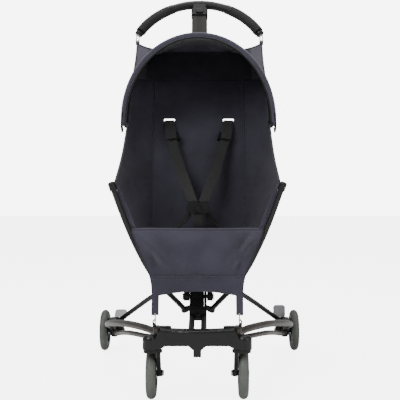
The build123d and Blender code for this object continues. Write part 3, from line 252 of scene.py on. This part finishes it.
def between(points, along):
    """Point on a smooth curve through points, along from 0 to 1."""
    last = len(points) - 1
    spot = min(max(along, 0.0), 1.0) * last
    start = min(int(spot), last - 1)
    t = spot - start
    p1, p2 = points[start], points[start + 1]
    p0 = points[start - 1] if start else p1 * 2 - p2
    p3 = points[start + 2] if start + 2 <= last else p2 * 2 - p1
    return (p1 * 2 + (p2 - p0) * t + (p0 * 2 - p1 * 5 + p2 * 4 - p3) * t ** 2
            + (p1 * 3 - p0 - p2 * 3 + p3) * t ** 3) / 2


def along_curve(points, steps):
    """Evenly stepped points on a smooth curve through points."""
    return [between(points, k / steps) for k in range(steps + 1)]


def resampled(rows, down, across):
    """A finer grid through a coarse grid of points."""
    wide = [along_curve(row, across) for row in rows]
    return [[between([row[i] for row in wide], j / down) for i in range(across + 1)] for j in range(down + 1)]


def mirrored_rows(rows):
    """Full-width rows from half rows that run from the middle outward."""
    return [[flipped(p) for p in row[:0:-1]] + row for row in rows]


def other_side(rows):
    """The same rows on the other side, turned so that the faces keep their direction."""
    return [[flipped(p) for p in reversed(row)] for row in rows]


def new_object(name, mesh, material):
    """Mesh with its material, placed in the scene."""
    made = bpy.data.objects.new(name, mesh)
    bpy.context.scene.collection.objects.link(made)
    mesh.materials.append(material)
    return made


def settle(piece):
    """Turn a piece's modifiers into plain, smooth-shaded mesh."""
    graph = bpy.context.evaluated_depsgraph_get()
    solid = bpy.data.meshes.new_from_object(piece.evaluated_get(graph))
    piece.modifiers.clear()
    piece.data = solid
    for face in solid.polygons:
        face.use_smooth = True
    return piece


def sheet_mesh(name, rows):
    """Grid mesh whose UV map is the cloth laid flat, in metres."""
    mesh = bpy.data.meshes.new(name)
    across = len(rows[0])
    points = [p for row in rows for p in row]
    faces = [(j * across + i, j * across + i + 1, (j + 1) * across + i + 1, (j + 1) * across + i)
             for j in range(len(rows) - 1) for i in range(across - 1)]
    mesh.from_pydata(points, [], faces)
    us = [[0.0] for _ in rows]
    for j, row in enumerate(rows):
        for left, right in zip(row, row[1:]):
            us[j].append(us[j][-1] + (right - left).length)
    middle = [u[across // 2] for u in us]
    vs = [0.0]
    for upper, lower in zip(rows, rows[1:]):
        vs.append(vs[-1] + (lower[across // 2] - upper[across // 2]).length)
    layer = mesh.uv_layers.new(name="laid_flat")
    for loop in mesh.loops:
        j, i = divmod(loop.vertex_index, across)
        layer.data[loop.index].uv = (us[j][i] - middle[j], vs[j])
    mesh.update()
    return mesh


def cloth(name, rows, material, thickness=CLOTH, smooth=1):
    """Sheet of cloth with its thickness, ready to hang on a body."""
    piece = new_object(name, sheet_mesh(name, rows), material)
    if smooth:
        finer = piece.modifiers.new("finer", "SUBSURF")
        finer.levels = smooth
        finer.render_levels = smooth
    wall = piece.modifiers.new("wall", "SOLIDIFY")
    wall.thickness = thickness
    wall.offset = 0.0
    return settle(piece)


def tube(name, points, radius, material, sides=10, closed=False):
    """Round cord along points."""
    curve = bpy.data.curves.new(name, "CURVE")
    curve.dimensions = "3D"
    curve.bevel_depth = radius
    curve.bevel_resolution = max(1, sides // 4)
    curve.use_fill_caps = not closed
    spline = curve.splines.new("POLY")
    spline.points.add(len(points) - 1)
    for held, point in zip(spline.points, points):
        held.co = (*point, 1.0)
    spline.use_cyclic_u = closed
    made = bpy.data.objects.new(name, curve)
    bpy.context.scene.collection.objects.link(made)
    graph = bpy.context.evaluated_depsgraph_get()
    mesh = bpy.data.meshes.new_from_object(made.evaluated_get(graph))
    bpy.data.objects.remove(made)
    for face in mesh.polygons:
        face.use_smooth = True
    return new_object(name, mesh, material)


def strap(name, points, facing, width, thick, material):
    """Flat webbing along points, its face turned to facing at each point, with rounded long edges."""
    rows = []
    turned = facing if isinstance(facing, list) else [facing] * len(points)
    for i, point in enumerate(points):
        ahead = points[min(i + 1, len(points) - 1)] - points[max(i - 1, 0)]
        side = ahead.cross(turned[i]).normalized()
        rows.append([point + side * (width * (step / 6 - 0.5)) for step in range(7)])
    piece = new_object(name, sheet_mesh(name, rows), material)
    wall = piece.modifiers.new("wall", "SOLIDIFY")
    wall.thickness = thick
    wall.offset = 0.0
    edge = piece.modifiers.new("edge", "BEVEL")
    edge.width = thick * 0.4
    edge.segments = 2
    edge.limit_method = "ANGLE"
    return settle(piece)


def stitches(name, points, off=Vector((0, 0, 0))):
    """A run of short raised thread stitches along points, lifted by off."""
    steps = [(end - start).length for start, end in zip(points, points[1:])]
    made = bmesh.new()
    travelled = 0.0
    index = 0
    for k in range(int(sum(steps) / STITCH_PITCH)):
        goal = k * STITCH_PITCH
        while index < len(steps) - 1 and travelled + steps[index] < goal:
            travelled += steps[index]
            index += 1
        way = (points[index + 1] - points[index]).normalized()
        start = points[index] + way * (goal - travelled) + off
        turn = Vector((0, 0, 1)).rotation_difference(way).to_matrix().to_4x4()
        shape = Matrix.Diagonal((STITCH_RADIUS, STITCH_RADIUS, STITCH_LENGTH / 2, 1))
        place = Matrix.Translation(start + way * STITCH_LENGTH / 2) @ turn @ shape
        bmesh.ops.create_icosphere(made, subdivisions=1, radius=1.0, matrix=place)
    mesh = bpy.data.meshes.new(name)
    made.to_mesh(mesh)
    made.free()
    for face in mesh.polygons:
        face.use_smooth = True
    return new_object(name, mesh, stitch_thread)


def rounded_block(name, centre, size, round_by, material, turn=None, segments=3):
    """Moulded block with rounded edges."""
    made = bmesh.new()
    bmesh.ops.create_cube(made, size=1.0, matrix=Matrix.Diagonal((*size, 1)))
    mesh = bpy.data.meshes.new(name)
    made.to_mesh(mesh)
    made.free()
    piece = new_object(name, mesh, material)
    edge = piece.modifiers.new("edge", "BEVEL")
    edge.width = round_by
    edge.segments = segments
    settle(piece)
    piece.data.transform(Matrix.Translation(centre) @ (turn or Matrix.Identity(4)))
    return piece


def fold(point, start, end, width, depth):
    """Depth of a soft crease that runs from start to end in the panel's own (across, up) plane."""
    way = end - start
    share = max(0.0, min(1.0, (point - start).dot(way) / way.length_squared))
    gap = (point - start - way * share).length
    fade = math.sin(math.pi * min(max(share, 0.02), 0.98)) ** 0.7
    return depth * fade * math.exp(-(gap / width) ** 2)


# ---------------------------------------------------------------- seat shell

# Half rows from the middle to the wing's edge: middle, halfway, seam, wing middle, wing edge
SEAM_X = 124
SHELL = [
    [(0, -71, 391), (66, -71, 391), (SEAM_X, -71, 388), (139, -160, 385), (154, -259, 391)],
    [(0, -40, 452), (66, -41, 452), (SEAM_X, -42, 453), (161, -150, 452), (182, -275, 455)],
    [(0, -8, 510), (66, -9, 510), (SEAM_X, -11, 509), (171, -136, 508), (190, -276, 508)],
    [(0, 22, 572), (66, 21, 572), (SEAM_X, 19, 571), (170, -58, 571), (187, -150, 574)],
    [(0, 63, 650), (66, 62, 650), (SEAM_X, 60, 650), (168, 24, 652), (187, -26, 655)],
    [(0, 98, 722), (66, 97, 722), (SEAM_X, 95, 722), (165, 70, 722), (186, 40, 724)],
    [(0, 134, 792), (66, 133, 792), (SEAM_X, 131, 792), (163, 121, 793), (185, 106, 795)],
    [(0, 162, 838), (66, 162, 839), (SEAM_X, 164, 842), (157, 172, 848), (183, 176, 855)],
    [(0, 186, 876), (66, 188, 879), (SEAM_X, 200, 889), (155, 222, 899), (184, 244, 914)],
]
# The back panel ends and the head panel starts here
SPLIT_ROW = 6
HEAD_LINING_HALF = 150 * MM


def shell_rows(first, last):
    """Rows first to last of the shell, as points."""
    return [[at(*p) for p in row] for row in SHELL[first:last + 1]]


# Soft creases in the back: start and end as (across, up), width, depth
BACK_FOLDS = [
    (Vector((-70, 640)), Vector((-30, 560)), 15, 4.5),
    (Vector((60, 640)), Vector((96, 560)), 16, 5.0),
    (Vector((-100, 470)), Vector((-40, 420)), 16, 3.5),
    (Vector((100, 475)), Vector((36, 415)), 18, 3.5),
    (Vector((-105, 760)), Vector((-60, 700)), 20, 2.6),
    (Vector((105, 770)), Vector((66, 700)), 20, 2.6),
    (Vector((0, 780)), Vector((0, 700)), 40, 2.0),
]


def seat_centre():
    """Pan and back panel in one sling, softly creased across the back."""
    back = [row[:3] for row in shell_rows(0, SPLIT_ROW)]
    pan = [[at(0, -258, 390), at(78, -258, 392), at(154, -258, 398)],
           [at(0, -240, 386), at(76, -240, 387), at(151, -240, 395)],
           [at(0, -190, 379), at(70, -190, 381), at(143, -190, 392)],
           [at(0, -130, 379), at(66, -130, 381), at(133, -130, 392)],
           [at(0, -92, 384), at(64, -92, 385), at(127, -92, 391)]]
    rows = resampled(mirrored_rows(pan + back), 92, 36)
    shaped = []
    for row in rows:
        line = []
        for p in row:
            spot = Vector((p.x, p.z))
            sag = 0.0
            for start, end, width, depth in BACK_FOLDS:
                sag += fold(spot, start * MM, end * MM, width * MM, depth * MM)
            line.append(p - FRONT * sag)
        shaped.append(line)
    return shaped


def wing_rows(rows):
    """Wing from the seam to the edge, bellied outward and gently puckered along the seam."""
    fine = resampled([[row[2], row[3], row[4]] for row in rows], 60, 16)
    shaped = []
    for j, row in enumerate(fine):
        line = []
        for i, p in enumerate(row):
            share = i / (len(row) - 1)
            pucker = 1.1 * MM * math.sin(j * 1.9) * math.exp(-share * 6)
            belly = 2.2 * MM * math.sin(j * 0.37 + share * 3) * math.sin(math.pi * share)
            line.append(p + Vector((pucker + belly, 0, 0)))
        shaped.append(line)
    return shaped


def slots_cut(piece):
    """Two open slots in the back panel for the shoulder straps."""
    cutters = []
    for side in (1, -1):
        block = rounded_block("slot_cutter", at(side * 81, 74, 675.5), at(30, 46, 6.4), 2.6 * MM, shell_cloth)
        cutters.append(block)
        cut = piece.modifiers.new("slot", "BOOLEAN")
        cut.object = block
        cut.operation = "DIFFERENCE"
        cut.solver = "EXACT"
    settle(piece)
    for block in cutters:
        bpy.data.objects.remove(block)


centre_rows = seat_centre()
sling = cloth("seat_sling", centre_rows, lining_cloth)
slots_cut(sling)
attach(sling, "column")
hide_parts("seat_back", "seat_pan")

ARM_BODIES = {1: "arm_right", -1: "arm_left"}
for side, word in SIDES:
    lower = wing_rows(shell_rows(0, SPLIT_ROW))
    lower = lower if side > 0 else other_side(lower)
    wing = cloth(f"seat_wing_{word}", lower, lining_cloth)
    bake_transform(wing)

upper_rows = resampled(mirrored_rows(shell_rows(SPLIT_ROW, len(SHELL) - 1)), 26, 60)
upper = cloth("seat_head_panel", upper_rows, shell_cloth)
upper.data.materials.append(lining_cloth)
for face in upper.data.polygons:
    face.material_index = 1 if abs(face.center.x) < HEAD_LINING_HALF else 0
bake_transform(upper)

# ---------------------------------------------------------------- calf panel

# Rows from the pan's front edge down to the lower hem: half width, y, z, and how far the row arches
CALF = [(154, -258, 394, 0), (152, -263, 386, 0), (144, -267, 366, 0), (132, -268, 338, 0),
        (118, -267, 306, 0), (110, -266, 284, 0), (106, -267, 262, 0), (104, -269, 240, 7)]
CALF_FOLDS = [
    (Vector((-140, 386)), Vector((-52, 300)), 11, -9.0),
    (Vector((142, 386)), Vector((60, 296)), 11, -12.0),
    (Vector((120, 388)), Vector((84, 320)), 9, 8.0),
    (Vector((-60, 372)), Vector((-20, 296)), 18, -6.0),
    (Vector((30, 378)), Vector((-14, 292)), 15, 6.0),
    (Vector((86, 372)), Vector((30, 296)), 18, -6.0),
    (Vector((100, 345)), Vector((90, 288)), 8, 7.0),
    (Vector((-108, 350)), Vector((-90, 288)), 9, 6.0),
    (Vector((0, 300)), Vector((8, 284)), 22, 3.5),
]


def calf_rows():
    """Calf panel that hangs from the pan's edge; its lower hem is arched between the straps."""
    coarse = []
    for half, y, z, arch in CALF:
        row = []
        for share in (0.0, 0.35, 0.7, 0.9, 1.0):
            lift = arch * 1.6 * (1 - (share / 0.9) ** 2) if share < 0.9 else -arch * 1.4 * (share - 0.9) / 0.1
            belly = -5 * math.cos(math.pi / 2 * share) if 290 < z < 385 else 0
            row.append(at(half * share, y + belly, z + lift))
        coarse.append(row)
    fine = resampled(mirrored_rows(coarse), 64, 64)
    shaped = []
    for row in fine:
        line = []
        for p in row:
            spot = Vector((p.x, p.z))
            push = sum(fold(spot, start * MM, end * MM, width * MM, depth * MM)
                       for start, end, width, depth in CALF_FOLDS)
            line.append(p + Vector((0, push, 0)))
        shaped.append(line)
    return shaped


calf_sheet = calf_rows()
calf = cloth("calf_panel_cloth", calf_sheet, shell_cloth)
calf_parts = [calf]
# Doubled lower band, its top edge turned under and stitched
band_rows = [[p + Vector((0, -1.6 * MM, 0)) for p in row] for row in calf_sheet if row[0].z < 0.287]
band = cloth("calf_lower_band", band_rows, shell_cloth, HEM)
calf_parts.append(band)
lip_run = [p + Vector((0, -1.2 * MM, 0.4 * MM)) for p in band_rows[0]]
lip = tube("calf_band_lip", lip_run, 1.5 * MM, shell_cloth)
calf_parts.append(lip)
seam_run = [p + Vector((0, -1.4 * MM, -6 * MM)) for p in band_rows[0]]
hem_run = [p + Vector((0, -1.6 * MM, 6 * MM)) for p in band_rows[-1]]
calf_threads = [stitches("band_stitches", seam_run),
                stitches("hem_stitches", hem_run)]
roll_run = [p + Vector((0, 1 * MM, 0.6 * MM)) for p in calf_sheet[0]]
top_roll = tube("pan_front_roll", roll_run, 3.2 * MM, shell_cloth)
calf_parts.append(top_roll)
for edge_index, side in ((0, -1), (-1, 1)):
    run = [row[edge_index] for row in calf_sheet]
    calf_parts.append(tube("calf_side_binding", run, 2.0 * MM, binding_tape))
    points = along_curve([at(side * 98, -269, 247), at(side * 98, -273, 228), at(side * 98, -281, 210),
                          at(side * 97.5, -287, 199)], 16)
    tail = strap("calf_strap", points, Vector((0, -1, 0)), 17 * MM, 2.2 * MM, shell_cloth)
    calf_parts.append(tail)
for piece in calf_parts + calf_threads:
    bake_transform(piece)
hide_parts("calf_panel")

# Side gussets from the pan's front corners up and out to the arms' tips
for side, word in SIDES:
    outline = [[at(143, -258, 396), at(150, -260, 402), at(158, -262, 412)],
               [at(152, -262, 420), at(158, -263, 424), at(166, -265, 430)],
               [at(164, -268, 450), at(170, -269, 454), at(176, -271, 458)],
               [at(176, -273, 480), at(181, -275, 484), at(186, -277, 488)],
               [at(188, -277, 505), at(190, -279, 508), at(192, -281, 512)]]
    rows = resampled(outline, 30, 8)
    rows = rows if side > 0 else other_side(rows)
    gusset = cloth(f"arm_gusset_{word}", rows, shell_cloth)
    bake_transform(gusset)

# ---------------------------------------------------------------- seams, bindings and corner fittings

for side, word in SIDES:
    seam = along_curve([at(side * SEAM_X, p[2][1] - 1.5, p[2][2]) for p in SHELL[:SPLIT_ROW + 1]], 70)
    piping = tube(f"back_seam_piping_{word}", seam, PIPING, binding_tape)
    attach(piping, "column")
    run = [p + Vector((-side * 7 * MM, -2 * MM, 0)) for p in seam]
    thread = stitches(f"back_seam_stitches_{word}", run)
    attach(thread, "column")
    edge = along_curve([at(side * p[4][0], p[4][1], p[4][2]) for p in SHELL[2:SPLIT_ROW + 1]], 60)
    binding = tube(f"wing_edge_binding_{word}", edge, 2.6 * MM, binding_tape)
    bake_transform(binding)
    top = along_curve([at(side * p[4][0], p[4][1], p[4][2]) for p in SHELL[SPLIT_ROW:]], 24)
    hem = along_curve([at(side * p[0], p[1], p[2]) for p in SHELL[-1]], 30)
    for label, points in (("corner", top), ("top", hem)):
        tape = tube(f"head_{label}_binding_{word}", points, 2.6 * MM, binding_tape)
        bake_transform(tape)
    tab_run = [at(side * 183, 242.5, 910), at(side * 183.5, 244.5, 918), at(side * 184, 246.5, 925)]
    tab = strap(f"corner_tab_{word}", tab_run, Vector((0, -1, 0)), 12 * MM, 2 * MM, binding_tape)
    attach(tab, "handle")
    # Webbing loop that ties the wing's front corner to the arm's tip
    loop = [at(side * 189, -274, 506), at(side * 193, -281, 502), at(side * 196, -288, 494),
            at(side * 193, -284, 484), at(side * 188, -276, 486)]
    tie = strap(f"arm_tie_{word}", along_curve(loop, 20), Vector((0, -0.3, 1)),
                9 * MM, 1.6 * MM, webbing_nylon)
    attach(tie, ARM_BODIES[side])
    ring = [at(side * 190, -281, 0) + Vector((side * 0.004 * math.sin(a), -0.002 * math.sin(a),
                                              0.481 + 0.013 * math.cos(a)))
            for a in [math.tau * k / 24 for k in range(24)]]
    wire = tube(f"arm_ring_{word}", ring, 1.3 * MM, bright_wire, closed=True)
    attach(wire, ARM_BODIES[side])

# ---------------------------------------------------------------- hood

HOOD_TILT = math.radians(20.5)
# Spaces across each hoop, and from the rim to the rear hem
HOOD_STEPS = 56
HOOD_DOWN = 36


def arch(half, rise, y, z, lean, step, fullness):
    """Point on one of the hood's hoops, step from the right side over the top to the left."""
    turn = math.pi * step / HOOD_STEPS
    across = math.cos(turn)
    height = math.sin(turn) ** fullness
    return at(half * across, y - math.sin(lean) * rise * height, z + math.cos(lean) * rise * height)


def hood_rows():
    """Hoops from the front rim over the crown to the hem behind the head."""
    hoops = [(199, 240, -20, 657, HOOD_TILT, 0.96), (198, 235, -6, 660, math.radians(15), 0.96),
             (194, 229, 20, 668, math.radians(6), 0.96), (191, 222, 52, 684, 0.0, 0.95),
             (189, 199, 90, 712, math.radians(-4), 0.94), (188, 155, 126, 757, math.radians(-8), 0.93),
             (187, 96, 162, 806, math.radians(-16), 0.93), (185, 30, 190, 843, math.radians(-22), 0.93)]
    coarse = [[arch(h, r, y, z, lean, s, f) for s in range(HOOD_STEPS + 1)]
              for h, r, y, z, lean, f in hoops]
    fine = [[between([row[i] for row in coarse], j / HOOD_DOWN) for i in range(HOOD_STEPS + 1)]
            for j in range(HOOD_DOWN + 1)]
    shaped = []
    for j, row in enumerate(fine):
        share = j / HOOD_DOWN
        line = []
        for i, p in enumerate(row):
            turn = math.pi * i / HOOD_STEPS
            # The cloth dips a little between the front bow and the crown, and puckers near the side caps
            dip = 3.2 * MM * math.sin(math.pi * share) * math.sin(turn) ** 2
            ripple = (1.3 * MM * math.sin(turn * 17 + share * 4) * math.sin(math.pi * share)
                      * (1 - math.sin(turn)))
            out = Vector((math.cos(turn), 0, math.sin(turn)))
            line.append(p - out * (dip - ripple))
        shaped.append(line)
    return shaped


hood_sheet = hood_rows()
hood = cloth("hood_shell", hood_sheet, hood_cloth_painted_lighter, CLOTH)
rim_points = hood_sheet[0]
rim_band = [[p + (hood_sheet[2][i] - p) * (k / 6) + Vector((math.cos(math.pi * i / HOOD_STEPS), 0,
             math.sin(math.pi * i / HOOD_STEPS))) * (1.5 * MM * math.sin(math.pi * k / 6))
             for i, p in enumerate(rim_points)] for k in range(7)]
rim = cloth("hood_rim_sleeve", rim_band, hood_cloth_painted_lighter, HEM)
rim_cord = tube("hood_rim_roll", [p - Vector((0, 0, 3 * MM)) for p in rim_points], 6.4 * MM, hood_cloth_painted_lighter, 16)
rear_hem = tube("hood_rear_binding", hood_sheet[-1], 2.2 * MM, binding_tape)
thread_run = [p + (hood_sheet[3][i] - p) * 0.92 for i, p in enumerate(rim_points)]
rim_thread = stitches("hood_rim_stitches", thread_run, Vector((0, 0, 1.6 * MM)))
crown_seams = []
for share in (0.27, 0.73):
    index = round(HOOD_STEPS * share)
    run = [row[index] for row in hood_sheet]
    out = Vector((math.cos(math.pi * share), 0, math.sin(math.pi * share)))
    crown_seams.append(tube("hood_crown_seam", [p + out * 0.9 * MM for p in run], 1.7 * MM, hood_cloth_painted_lighter))
    beside = [p + out * 1.2 * MM + Vector((4 * MM, 0, 0)) for p in run]
    crown_seams.append(stitches("hood_crown_stitches", beside))
for piece in [hood, rim, rim_cord, rear_hem, rim_thread] + crown_seams:
    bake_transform(piece)
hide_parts("canopy_fabric")
for side, word in SIDES:
    # Moulded shoe that grips the bow's end and the cloth's corner
    path = along_curve([at(side * 201, -9, 640), at(side * 203, -15, 650), at(side * 202.5, -22, 668),
                        at(side * 200.5, -34, 690)], 12)
    shoe = strap(f"hood_side_shoe_{word}", path, Vector((side, 0, 0)), 19 * MM, 4.6 * MM, trim_nylon)
    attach(shoe, "canopy")

# ---------------------------------------------------------------- harness

BUCKLE = at(0, -128, 440)
harness = []
for side, word in SIDES:
    top = at(side * 81, 69, 671)
    low = at(side * 13, -125, 453)
    path = [top + Vector((0, 14 * MM, 3 * MM)), top, at(side * 77, 40, 642), at(side * 68, 14, 606),
            at(side * 49, -32, 548), at(side * 30, -80, 497), low]
    points = along_curve(path, 44)
    facing = [Vector((side * 0.05, -1, 0.65 - 0.3 * k / 44)).normalized() for k in range(45)]
    main = strap(f"shoulder_strap_{word}", points, facing, WEBBING_WIDTH, WEBBING_THICK, webbing_nylon)
    # The strap's tail runs back under the adjuster, a little to one side and slack
    tail_path = [at(side * 70, 15, 610), at(side * 57, -20, 566), at(side * 42, -62, 515),
                 at(side * 27, -93, 480)]
    tail = strap(f"strap_tail_{word}", along_curve(tail_path, 24),
                 Vector((side * 0.05, -1, 0.5)), 21 * MM, WEBBING_THICK, webbing_nylon)
    upper_path = [at(side * 80, 64, 668), at(side * 76.5, 36, 639), at(side * 72.5, 21, 621)]
    pad = strap(f"shoulder_pad_{word}", along_curve(upper_path, 16),
                Vector((0, -1, 0.65)), 28 * MM, 5.5 * MM, webbing_nylon)
    harness += [main, tail, pad]
    lap_path = [at(side * 20, -126, 428), at(side * 34, -112, 410), at(side * 52, -96, 395),
                at(side * 64, -84, 388)]
    lap = strap(f"lap_strap_{word}", along_curve(lap_path, 16), Vector((0, -0.8, 0.7)), 20 * MM,
                WEBBING_THICK, webbing_nylon)
    harness.append(lap)
crotch_path = [at(0, -133, 382), at(0, -136, 400), at(0, -131, 428)]
crotch = strap("crotch_strap_web", along_curve(crotch_path, 14), Vector((0, -1, 0)), WEBBING_WIDTH,
               WEBBING_THICK, webbing_nylon)
harness.append(crotch)
for piece in harness:
    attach(piece, "column")
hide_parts("harness_straps")
for side, word in SIDES:
    prong = rounded_block(f"buckle_prong_{word}",
                          BUCKLE + at(side * 15, -2, 15.5), at(20, 7, 9), 2 * MM, trim_nylon)
    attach(prong, "column")
face_ring = [BUCKLE + Vector((0.0098 * math.cos(a), -0.0076, 0.0098 * math.sin(a)))
             for a in [math.tau * k / 32 for k in range(32)]]
ring = tube("buckle_button_ring", face_ring, 0.9 * MM, trim_nylon, closed=True)
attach(ring, "column")

# ---------------------------------------------------------------- stage, light and camera

bpy.ops.mesh.primitive_plane_add(size=14, location=(0, 2.0, 0))
floor = bpy.context.object
floor.name = "studio_floor"
# Strength of the room as it lights the object and as the camera sees it, and of the floor as seen
ROOM_LIGHT = 0.55
ROOM_WHITE = 7.0
FLOOR_WHITE = 5.0
floor_paint, floor_tree, floor_shader = finish_material("matte_white_sweep", "#f4f4f4", 0.9)
glow = node(floor_tree, "ShaderNodeMapRange", {"To Min": 0.0, "To Max": FLOOR_WHITE},
            {"Value": node(floor_tree, "ShaderNodeLightPath").outputs["Is Camera Ray"]})
floor_tree.links.new(glow.outputs[0], floor_shader.inputs["Emission Strength"])
floor_shader.inputs["Emission Color"].default_value = (1, 1, 1, 1)
floor.data.materials.append(floor_paint)

world = bpy.data.worlds.new("studio_air")
bpy.context.scene.world = world
world.use_nodes = True
air = world.node_tree
# The camera sees a bright white room, and the object is lit by a dimmer one
seen = node(air, "ShaderNodeLightPath").outputs["Is Camera Ray"]
level = node(air, "ShaderNodeMapRange", {"To Min": ROOM_LIGHT, "To Max": ROOM_WHITE}, {"Value": seen})
air.links.new(level.outputs[0], air.nodes["Background"].inputs["Strength"])
air.nodes["Background"].inputs["Color"].default_value = (1, 1, 1, 1)


def softbox(name, place, target, size, power):
    """Large soft lamp aimed at a point."""
    lamp = bpy.data.lights.new(name, "AREA")
    lamp.shape = "RECTANGLE"
    lamp.size, lamp.size_y = size
    lamp.energy = power
    held = bpy.data.objects.new(name, lamp)
    bpy.context.scene.collection.objects.link(held)
    held.location = place
    held.rotation_euler = (Vector(target) - Vector(place)).to_track_quat("-Z", "Y").to_euler()


softbox("key_softbox", (-1.5, -1.9, 2.3), (0, 0, 0.5), (1.4, 1.4), 60)
softbox("fill_softbox", (1.9, -1.8, 1.2), (0, 0, 0.4), (1.6, 1.6), 22)
softbox("top_softbox", (0, 0.3, 2.8), (0, 0, 0.5), (1.8, 1.8), 45)

# Eye level is about half the height, a little right of the middle
EYE_PLACE = (0.022, -2.131, 0.513)
LENS = 72
SHIFT = (-0.01725, -0.0525)
camera = bpy.data.cameras.new("studio_camera")
camera.lens = LENS
camera.sensor_width = 36
camera.shift_x, camera.shift_y = SHIFT
eye = bpy.data.objects.new("studio_camera", camera)
bpy.context.scene.collection.objects.link(eye)
eye.location = EYE_PLACE
eye.rotation_euler = (math.radians(90), 0, 0)
bpy.context.scene.camera = eye
